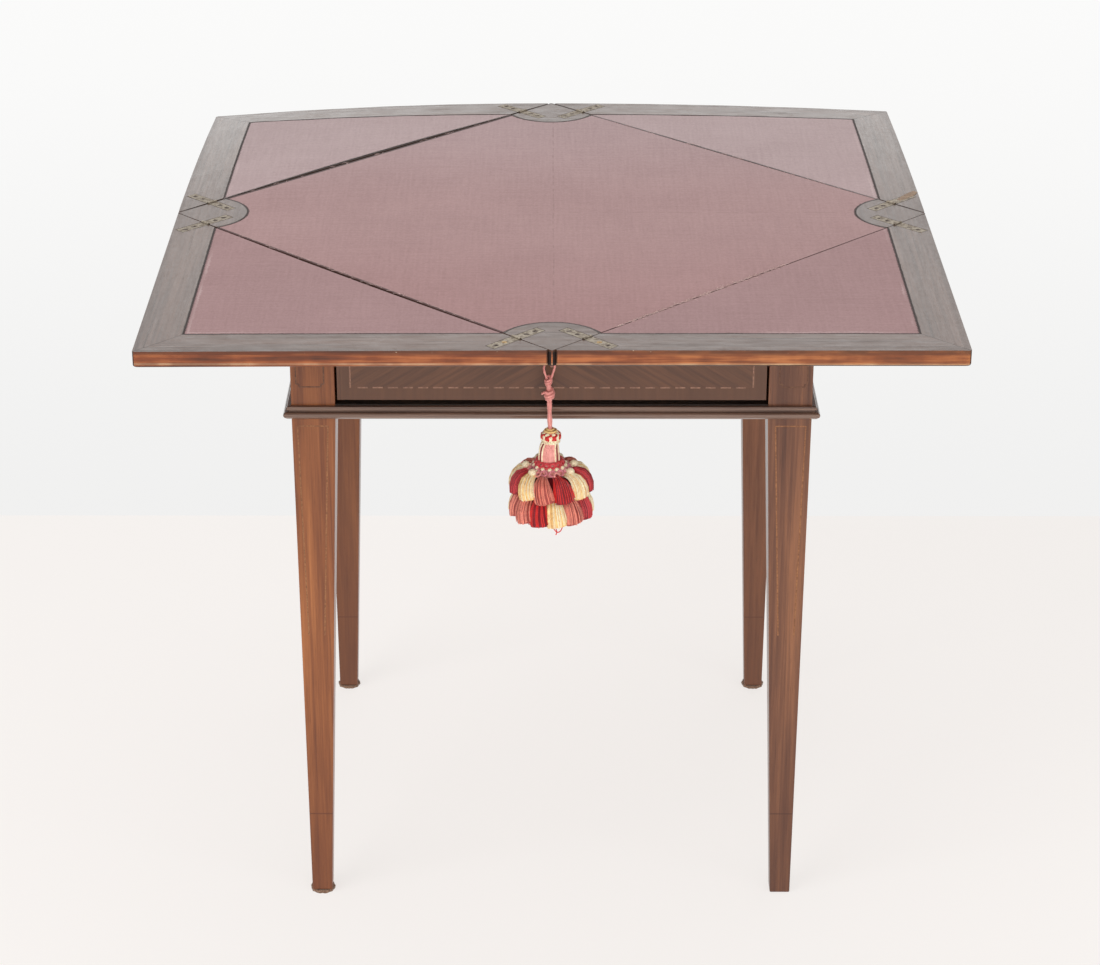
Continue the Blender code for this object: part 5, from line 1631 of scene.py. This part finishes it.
@dataclass
class Drawer:
    """The drawer's woods, its stringing, lock and key."""

    line: float = 0.8 * MM
    proud: float = 0.05 * MM
    dash: float = 10.6 * MM
    period: float = 16 * MM

    def build(self) -> None:
        """Dresses the drawer and lets in its lines."""
        face = tone(75, 45, 31), tone(96, 61, 41), tone(117, 75, 50)
        veneer = DrawerVeneer("drawer_veneer", *face, Grain.X, 5.5 * MM, 120 * MM, 0.42, 0.25)
        dress(veneer.material(), "drawer_front")
        sides = tone(124, 86, 58), tone(170, 128, 92), tone(200, 160, 120)
        side = Timber("drawer_side_wood", *sides, Grain.Y, 5 * MM, 200 * MM, 0.6, 0.0)
        dress(side.material(), "drawer_side_left", "drawer_side_right")
        backs = tone(124, 86, 58), tone(166, 124, 90), tone(196, 156, 118)
        back = Timber("drawer_back_wood", *backs, Grain.X, 5 * MM, 200 * MM, 0.6, 0.0)
        dress(back.material(), "drawer_back", "drawer_bottom")
        brass = AgedMetal("aged_brass", tone(196, 162, 112), tone(132, 104, 74), tone(70, 52, 38), 0.34)
        iron = AgedMetal("old_iron", tone(140, 130, 122), tone(86, 76, 70), tone(44, 34, 30), 0.4)
        key = AgedMetal("key_steel", tone(208, 200, 192), tone(150, 138, 128), tone(84, 70, 62), 0.32, 0.4)
        dress(brass.material(), "escutcheon")
        dress(iron.material(), "lock_case", "lock_bolt", "pivot_plate", "pivot_washer", "pivot_nut")
        dress(key.material(), "key")
        self._stringing()

    def _stringing(self) -> None:
        """The two uprights and the dashed lines between them."""
        line = Plain("drawer_line", tone(116, 82, 66), tone(162, 120, 98), 300.0, 0.5, 0.03 * MM)
        finish = line.material()
        oval = self.proud * 2 / self.line
        uprights = Workpiece()
        for x in (-STRING_X, STRING_X):
            path = [Vector((x, DRAWER_FACE, z)) for z in (STRING_LOW, STRING_HIGH)]
            uprights.tube(path, self.line, 4, oval, facing=Vector((1, 0, 0)))
        dashes = Workpiece()
        count = int(2 * STRING_X / self.period)
        for level in (STRING_LOW, STRING_HIGH):
            for number in range(count):
                start = -count * self.period / 2 + self.period * number + (self.period - self.dash) / 2
                path = [Vector((x, DRAWER_FACE, level)) for x in (start, start + self.dash)]
                dashes.tube(path, self.line, 4, oval, facing=Vector((0, 0, 1)))
        uprights.set_down("drawer_uprights", finish, "drawer", "drawer_lining", smooth=None)
        dashes.set_down("drawer_dashes", finish, "drawer", "drawer_lining", smooth=None)


class Dye(Enum):
    """Colours of the tassel's silk."""

    WINE = tone(132, 22, 34)
    CRIMSON = tone(206, 60, 66)
    RED = tone(214, 40, 38)
    BRICK = tone(168, 72, 62)
    SALMON = tone(233, 142, 122)
    MAUVE = tone(220, 134, 144)
    PINK = tone(242, 162, 152)
    ROSE = tone(228, 148, 139)
    GOLD = tone(248, 204, 134)
    CREAM = tone(255, 240, 200)


# Each dye's darker partner: a tuft's solid middle takes it as painted shade between the threads, and a
# share of the threads take it too.
DARKER_DYES = {
    Dye.CRIMSON: Dye.WINE, Dye.RED: Dye.WINE, Dye.SALMON: Dye.BRICK, Dye.CREAM: Dye.GOLD,
}


@dataclass(frozen=True)
class Tuft:
    """One tuft of cut silk: where it ends round the tassel, how far it leans, and its dye."""

    degrees: float
    lean: float
    dye: Dye


@dataclass(frozen=True)
class Tier:
    """A ring of tufts that share one curve: distances in millimetres, root first."""

    reach: tuple[float, ...]
    level: tuple[float, ...]
    half_width: tuple[float, ...]
    half_depth: tuple[float, ...]
    tufts: tuple[Tuft, ...]


@dataclass(frozen=True)
class Knot:
    """A winding about the stem: its middle's height, its reach, the cord's radius, turns and height."""

    middle: float
    reach: float
    radius: float
    turns: float
    height: float


@dataclass(frozen=True)
class Loop:
    """A small loop of cord: its middle's place, its size, the cord's radius, and its outward lean."""

    reach: float
    level: float
    size: float
    radius: float
    lean: float


UPPER_TIER = Tier(
    (12, 19, 27, 33.5, 37.5, 39.5, 39.8),
    (537, 539.8, 540.6, 538.2, 533, 526.5, 519.5),
    (2.0, 3.2, 5.4, 8.0, 9.8, 10.8, 11.3),
    (1.8, 2.4, 3.4, 4.6, 5.4, 5.7, 5.5),
    (
        Tuft(-103, 8, Dye.CREAM), Tuft(-72, 12, Dye.CRIMSON), Tuft(-38, 17, Dye.CREAM),
        Tuft(-8, 17, Dye.SALMON), Tuft(22, 9, Dye.RED), Tuft(53, 4, Dye.CREAM), Tuft(83, -4, Dye.CRIMSON),
        Tuft(113, -6, Dye.CREAM), Tuft(143, 5, Dye.SALMON), Tuft(173, 8, Dye.RED),
        Tuft(-158, -5, Dye.CREAM), Tuft(-130, 6, Dye.SALMON),
    ),
)
LOWER_TIER = Tier(
    (12, 22, 30, 36, 39.5, 40.4, 40.6),
    (530, 525, 518.5, 511, 503.5, 498, 492.6),
    (2.4, 4.2, 6.4, 8.6, 10.2, 11.0, 11.6),
    (1.8, 3.0, 4.0, 4.8, 5.2, 5.2, 5.1),
    (
        Tuft(-101, 10, Dye.CREAM), Tuft(-73, 14, Dye.SALMON), Tuft(-44, 14, Dye.SALMON),
        Tuft(-17, 8, Dye.RED), Tuft(9, 5, Dye.CREAM), Tuft(38, 4, Dye.SALMON), Tuft(67, -4, Dye.CRIMSON),
        Tuft(97, -6, Dye.CREAM), Tuft(128, 5, Dye.RED), Tuft(158, 8, Dye.SALMON),
        Tuft(-172, -5, Dye.CRIMSON), Tuft(-138, 6, Dye.SALMON),
    ),
)


@dataclass
class Tassel:
    """The looped cord, its knots, the bound head and the two tiers of cut tufts."""

    loop_height: float = 659.6 * MM
    strand: float = 1.25 * MM
    stem: float = 2.75 * MM
    strands_meet: float = 637.2 * MM
    head_top: float = 587.6 * MM
    threads: int = 84
    thread: float = 0.43 * MM
    thread_wander: float = 0.8 * MM
    loose_thread: float = 0.75 * MM
    under_share: float = 0.24
    upper_knot: Knot = Knot(641.8 * MM, 3.0 * MM, 1.55 * MM, 3.4, 12.6 * MM)
    main_knot: Knot = Knot(626.8 * MM, 4.1 * MM, 2.15 * MM, 3.2, 15.6 * MM)
    knot_lean: float = 1.6 * MM
    loops: int = 14
    crimson_loop: Loop = Loop(14.6 * MM, 550.6 * MM, 2.5 * MM, 1.25 * MM, 0.5)
    mauve_loop: Loop = Loop(20.6 * MM, 544.4 * MM, 3.2 * MM, 1.15 * MM, 1.1)
    pink_loop: Loop = Loop(23.6 * MM, 543.4 * MM, 3.0 * MM, 1.05 * MM, 1.5)
    hoop_steps: int = 28
    weave_steps: int = 96
    weave_waves: int = 4
    loop_steps: int = 14
    rib_places: tuple[float, ...] = (-54, 49, 131, -131)
    rib_beside: float = 13.5
    ball_places: tuple[float, ...] = (-47, 55, 104, 158, -152, -98)
    sway: Profile = (
        (485, -0.6), (540, -0.6), (548, -2.2), (560, -2.8), (568, -2.4), (574, -0.9), (584, -0.9),
        (590, -1.8), (612, -2.4), (627, -2.2), (637, -3.2), (645, -3.7),
    )
    head_profile: Profile = (
        (0.0, 586.2), (1.6, 585.9), (3.0, 584.6), (5.0, 584.6), (6.8, 584.0), (8.4, 581.0), (8.7, 577.5),
        (8.2, 574.6), (8.8, 572.5), (9.9, 568.5), (10.8, 563.5), (11.3, 558.5), (11.4, 553.5),
        (12.6, 551.0), (15.8, 547.5), (19.0, 543.5), (19.5, 539.5), (12.0, 537.5), (0.0, 537.0),
    )
    rib_profile: Profile = (
        (8.8, 573.5), (10.1, 568.5), (11.0, 563.5), (11.5, 558.5), (11.6, 553.5), (11.4, 551.0),
    )
    skirt_profile: Profile = (
        (0.0, 537.5), (20, 537), (31, 531), (34.5, 522), (30, 512), (35.5, 502), (35, 494.5), (0.0, 494),
    )
    loose: tuple[tuple[Point, ...], ...] = (
        ((1.0, 40.0, 495.0), (3.6, 42.0, 489.6), (6.6, 42.6, 487.0), (9.8, 42.4, 488.2),
         (12.0, 41.6, 492.4)),
        ((5.4, 42.0, 490.4), (6.0, 42.8, 487.0), (5.0, 43.0, 484.2)),
    )

    def __post_init__(self) -> None:
        """Mixes the dyes."""
        self.silks = {dye: Silk("silk_" + dye.name.lower(), dye.value).material() for dye in Dye}
        self.dice = random.Random(5)

    def at(self, x: float, y: float, z: float) -> Vector:
        """A point beside the tassel's middle line, which leans a little, at a height above the floor.

        Args:
            x: To the right of the line.
            y: Behind it.
            z: Height.

        Returns:
            The point.
        """
        level = z / MM
        shift = self.sway[0][1] if level < self.sway[0][0] else self.sway[-1][1]
        for (low, before), (high, after) in zip(self.sway, self.sway[1:]):
            if low <= level < high:
                shift = before + (after - before) * (level - low) / (high - low)
        return Vector((x + shift * MM, KEY_Y + y, z))

    def round_it(self, reach: float, degrees: float, z: float) -> Vector:
        """A point round the middle line, at an angle from the front."""
        angle = math.radians(degrees)
        return self.at(reach * math.sin(angle), -reach * math.cos(angle), z)

    def build(self) -> None:
        """Makes the cord, the head and the tufts."""
        self._cord()
        self._head()
        self._collar()
        self._skirt()

    def _silk(self, work: Workpiece, name: str, dye: Dye, body: str = "tassel") -> bpy.types.Object:
        """Sets a silk piece down."""
        return work.set_down(name, self.silks[dye], body, "rose_silk", smooth=60.0)

    def _cord(self) -> None:
        """The loop over the key's bow, the two knots, and the doubled stem that the head hangs from."""
        stem_path = []
        steps = 60
        for number in range(steps + 1):
            level = self.strands_meet + (self.head_top - self.strands_meet) * number / steps
            stem_path.append(self.at(0, 0, level))
        stem = Workpiece()
        stem.tube(stem_path, self.stem, 14, 0.8, turns=1.4)
        stem_piece = self._silk(stem, "cord_stem", Dye.ROSE, "tassel_cord")
        loop = Workpiece()
        loop.tube(self._loop_path(), self.strand, 10, 0.86, turns=7)
        loop_piece = self._silk(loop, "cord_loop", Dye.ROSE, "tassel_cord")
        upper = self._knot("upper_knot", self.upper_knot)
        lower = self._knot("main_knot", self.main_knot)
        tail = Workpiece()
        end = ((-2, -3, 630), (-5.4, -4.0, 630.4), (-8.4, -4.2, 629))
        tail_path = [self.at(x * MM, y * MM, z * MM) for x, y, z in end]
        tail.tube(tail_path, lambda share: (1.8 - 0.5 * share) * MM, 10, 0.8)
        tail_piece = self._silk(tail, "knot_end", Dye.ROSE, "tassel_cord")
        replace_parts(stem_piece, "tassel_cord")

    def _loop_path(self) -> list[Vector]:
        """The loop over the rim of the bow.

        Returns:
            Its points, from one strand's foot to the other's.
        """
        right = [(-2.0, -23), (-1.4, -17), (0.3, -12), (1.5, -8), (2.7, -4)]
        left = [(-8.2, -4), (-7.6, -8), (-6.2, -12), (-4.8, -17), (-4.2, -23)]
        over = []
        for step in range(9):
            angle = math.pi * step / 8
            over.append((-2.4 + 5.5 * math.cos(angle), 4.9 * math.sin(angle) - 1.2))
        points = [*right, *over, *left]
        return smoothed([Vector((x * MM, KEY_Y, self.loop_height + z * MM)) for x, z in points], 4)

    def _knot(self, name: str, knot: Knot) -> bpy.types.Object:
        """Turns of cord wound about the stem.

        Args:
            name: The piece's name.
            knot: Its sizes.

        Returns:
            The knot.
        """
        path = []
        steps = int(knot.turns * 16)
        rise = knot.height - 2 * knot.radius - self.knot_lean
        for number in range(steps + 1):
            share = number / steps
            angle = math.tau * knot.turns * share
            bulge = knot.reach * (0.62 + 0.38 * math.sin(math.pi * share))
            lean = self.knot_lean * math.sin(angle + 0.7)
            level = knot.middle + rise * (share - 0.5)
            spot = self.at(bulge * math.cos(angle), bulge * math.sin(angle), level)
            path.append(spot + Vector((0, 0, lean)))
        work = Workpiece()
        work.tube(path, knot.radius, 10, 0.85, turns=knot.turns * 1.5)
        return self._silk(work, name, Dye.ROSE, "tassel_cord")

    def _turned(self, profile: Profile, name: str, dye: Dye) -> bpy.types.Object:
        """A shape turned about the middle line.

        Args:
            profile: Its (radius, height) points in millimetres.
            name: The piece's name.
            dye: Its colour.

        Returns:
            The object.
        """
        work = Workpiece()
        for vert in work.turned([(out * MM, up * MM) for out, up in profile], 40):
            vert.co = self.at(*vert.co)
        return self._silk(work, name, dye)

    def _head(self) -> None:
        """The knotted knob, and the satin barrel below it with its four pairs of ribs."""
        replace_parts(self._turned(self.head_profile, "head_core", Dye.PINK), "tassel_head")
        cap = Workpiece()
        for reach, level in ((3.5, 587.3), (6.0, 585.7)):
            self._hoop(cap, reach * MM, level * MM, 1.25 * MM)
        self._silk(cap, "head_cap", Dye.GOLD)
        rim = Workpiece()
        self._hoop(rim, 9.0 * MM, 573.9 * MM, 1.3 * MM)
        for start in (0.0, 0.52):
            self._weave(rim, 9.2 * MM, 579.0 * MM, 4.6 * MM, 1.45 * MM, start, 0)
        self._silk(rim, "head_cream_cords", Dye.CREAM)
        red = Workpiece()
        for start in (0.26, 0.80):
            self._weave(red, 9.4 * MM, 579.8 * MM, 2.6 * MM, 1.5 * MM, start, 1)
        self._silk(red, "head_red_cords", Dye.RED)
        ribs = Workpiece()
        lines = Workpiece()
        for middle in self.rib_places:
            for offset in (-self.rib_beside, self.rib_beside):
                self._rib(ribs, middle + offset, 0.85 * MM)
            self._rib(lines, middle, 0.62 * MM)
        self._silk(ribs, "head_ribs", Dye.CREAM)
        self._silk(lines, "head_lines", Dye.WINE)

    def _hoop(self, work: Workpiece, reach: float, level: float, radius: float) -> None:
        """A level ring of cord round the middle line."""
        turns = (360 * number / self.hoop_steps for number in range(self.hoop_steps))
        work.tube([self.round_it(reach, degrees, level) for degrees in turns], radius, closed=True)

    def _weave(self, work: Workpiece, reach: float, level: float, height: float, radius: float,
               start: float, phase: int) -> None:
        """One cord of the knob's knot, in and out and up and down round it.

        Args:
            work: The piece that it joins.
            reach: Its mean distance from the middle line.
            level: Its mean height.
            height: How far up and down it goes.
            radius: The cord's radius.
            start: Where in a wave it starts, as a share of a turn.
            phase: Whether it passes over first or under first.
        """
        path = []
        for number in range(self.weave_steps):
            turn = math.tau * number / self.weave_steps
            up = height * math.sin(self.weave_waves * turn + start * math.tau)
            over = 0.7 * MM * math.cos(2 * self.weave_waves * turn + math.pi * phase)
            out = reach + over - abs(up) ** 2 * 60
            path.append(self.round_it(out, math.degrees(turn), level + up))
        work.tube(path, radius, closed=True)

    def _rib(self, work: Workpiece, degrees: float, radius: float) -> None:
        """An upright cord down the barrel of the head."""
        path = [self.round_it(out * MM, degrees, up * MM) for out, up in self.rib_profile]
        work.tube(smoothed(path, 3), radius)

    def _collar(self) -> None:
        """Looped cord, beads and small balls where the head meets the tufts."""
        loops = Workpiece()
        self._hoop(loops, 12.4 * MM, 552.4 * MM, 1.3 * MM)
        beads = Workpiece()
        for number in range(self.loops):
            degrees = 360 * (number + 0.5) / self.loops
            self._loop(loops, degrees, self.crimson_loop)
            spot = self.round_it(17.0 * MM, degrees + 180 / self.loops, 546.9 * MM)
            beads.ball(spot, Vector((2.3, 2.3, 2.5)) * MM, 12, 8)
        self._silk(loops, "collar_loops", Dye.CRIMSON)
        self._silk(beads, "collar_beads", Dye.CREAM)
        mauve = Workpiece()
        pink = Workpiece()
        for number in range(self.loops):
            degrees = 360 * number / self.loops
            self._loop(mauve, degrees + 6, self.mauve_loop)
            if number % 2:
                self._loop(pink, degrees - 9, self.pink_loop)
        self._silk(mauve, "collar_mauve_loops", Dye.MAUVE)
        self._silk(pink, "collar_pink_loops", Dye.PINK)
        balls = Workpiece()
        for degrees in self.ball_places:
            spot = self.round_it(26 * MM, degrees, 544.5 * MM)
            balls.ball(spot, Vector((4.5, 4.5, 4.5)) * MM, 16, 10)
            root = self.round_it(14 * MM, degrees, 544 * MM)
            balls.tube([root, (root + spot) / 2 + Vector((0, 0, 1.2 * MM)), spot], 1.1 * MM)
        self._silk(balls, "collar_balls", Dye.CREAM)

    def _loop(self, work: Workpiece, degrees: float, loop: Loop) -> None:
        """A small loop of cord.

        Args:
            work: The piece that it joins.
            degrees: Where round the middle line, from the front.
            loop: Its sizes.
        """
        angle = math.radians(degrees - 90)
        out = Vector((math.cos(angle), math.sin(angle), 0))
        beside = Vector((-out.y, out.x, 0)) * loop.size
        up = (Vector((0, 0, 1)) - out * loop.lean).normalized() * loop.size
        middle = self.round_it(loop.reach, degrees, loop.level)
        turns = [math.tau * number / self.loop_steps for number in range(self.loop_steps)]
        path = [middle + beside * math.cos(turn) + up * math.sin(turn) for turn in turns]
        work.tube(path, loop.radius, closed=True)

    def _skirt(self) -> None:
        """Two tiers of tufts, each gathered at its root, draped over, flared and cut."""
        threads: dict[Dye, list[list[Vector]]] = {}
        cores: dict[Dye, Workpiece] = {}
        for tier in (UPPER_TIER, LOWER_TIER):
            for tuft in tier.tufts:
                self._tuft(tier, tuft, cores, threads)
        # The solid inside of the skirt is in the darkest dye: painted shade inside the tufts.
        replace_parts(self._turned(self.skirt_profile, "skirt_inside", Dye.WINE), "tassel_skirt")
        for dye, core in cores.items():
            self._silk(core, f"tufts_{dye.name.lower()}", dye)
        for dye, lines in threads.items():
            name = f"threads_{dye.name.lower()}"
            strands(name, lines, self.thread, self.silks[dye], "tassel", "rose_silk")
        paths = []
        for line in self.loose:
            paths.append(smoothed([self.at(x * MM, -out * MM, up * MM) for x, out, up in line], 4))
        strands("loose_thread", paths, self.loose_thread, self.silks[Dye.RED], "tassel", "rose_silk")

    def _tuft(self, tier: Tier, tuft: Tuft, cores: dict[Dye, Workpiece],
              threads: dict[Dye, list[list[Vector]]]) -> None:
        """One tuft: a fan of cut threads, some in a darker dye, over a solid middle in that darker dye as
        painted shade between the threads.

        Args:
            tier: The curve that it follows.
            tuft: Its place and dye.
            cores: The solid middles, by dye.
            threads: The threads' paths, by dye.
        """
        under = DARKER_DYES[tuft.dye]
        last = len(tier.reach) - 1
        lift = self.dice.uniform(-0.8, 0.8)
        spine = []
        for number, (reach, level) in enumerate(zip(tier.reach, tier.level)):
            degrees = tuft.degrees - tuft.lean * (1 - number / last)
            spine.append(self.round_it(reach * MM, degrees, (level + lift) * MM))
        angle = math.radians(tuft.degrees - tuft.lean * 0.4 - 90)
        beside = Vector((-math.sin(angle), math.cos(angle), 0))
        frames = frames_along(spine, beside)
        core = cores.setdefault(under, Workpiece())
        depth_share = tier.half_depth[-1] / tier.half_width[-1]

        def core_width(share: float) -> float:
            """Half the solid middle's width, a little inside the threads."""
            return self._between(tier.half_width, share) * 0.9 * MM

        # The solid middle, in the darker dye: painted shade between the threads.
        core.tube(smoothed(spine, 2), core_width, 14, depth_share, facing=beside)
        for _ in range(self.threads):
            turn = self.dice.uniform(0, math.tau)
            spread = 0.86 + 0.16 * self.dice.random()
            cut = (self.dice.uniform(-1.2, 1.2) - 2.8 * math.cos(turn) ** 2) * MM
            drift = self.dice.uniform(-self.thread_wander, self.thread_wander)
            path = []
            for number, place in enumerate(frames):
                share = number / last
                side = math.cos(turn) * tier.half_width[number] * spread * MM + drift * share
                over = math.sin(turn) * tier.half_depth[number] * spread * MM
                path.append(place @ Vector((side, over, cut * share ** 4)))
            dye = under if self.dice.random() < self.under_share else tuft.dye
            threads.setdefault(dye, []).append(path)

    def _between(self, values: tuple[float, ...], share: float) -> float:
        """A value at a share of the way down a tuft.

        Args:
            values: The values at even steps.
            share: How far down.

        Returns:
            The value there.
        """
        place = share * (len(values) - 1)
        step = min(int(place), len(values) - 2)
        return values[step] + (values[step + 1] - values[step]) * (place - step)


def main() -> None:
    """Builds the studio and every sub-assembly."""
    logging.basicConfig(level=logging.INFO, format="%(message)s")
    Studio().build()
    Tassel().build()
    FrameWoods().build()
    LegInlay().build()
    FeltPads().build()
    CardTop().build()
    StrapHinges().build()
    Drawer().build()


if __name__ == "__main__":
    main()
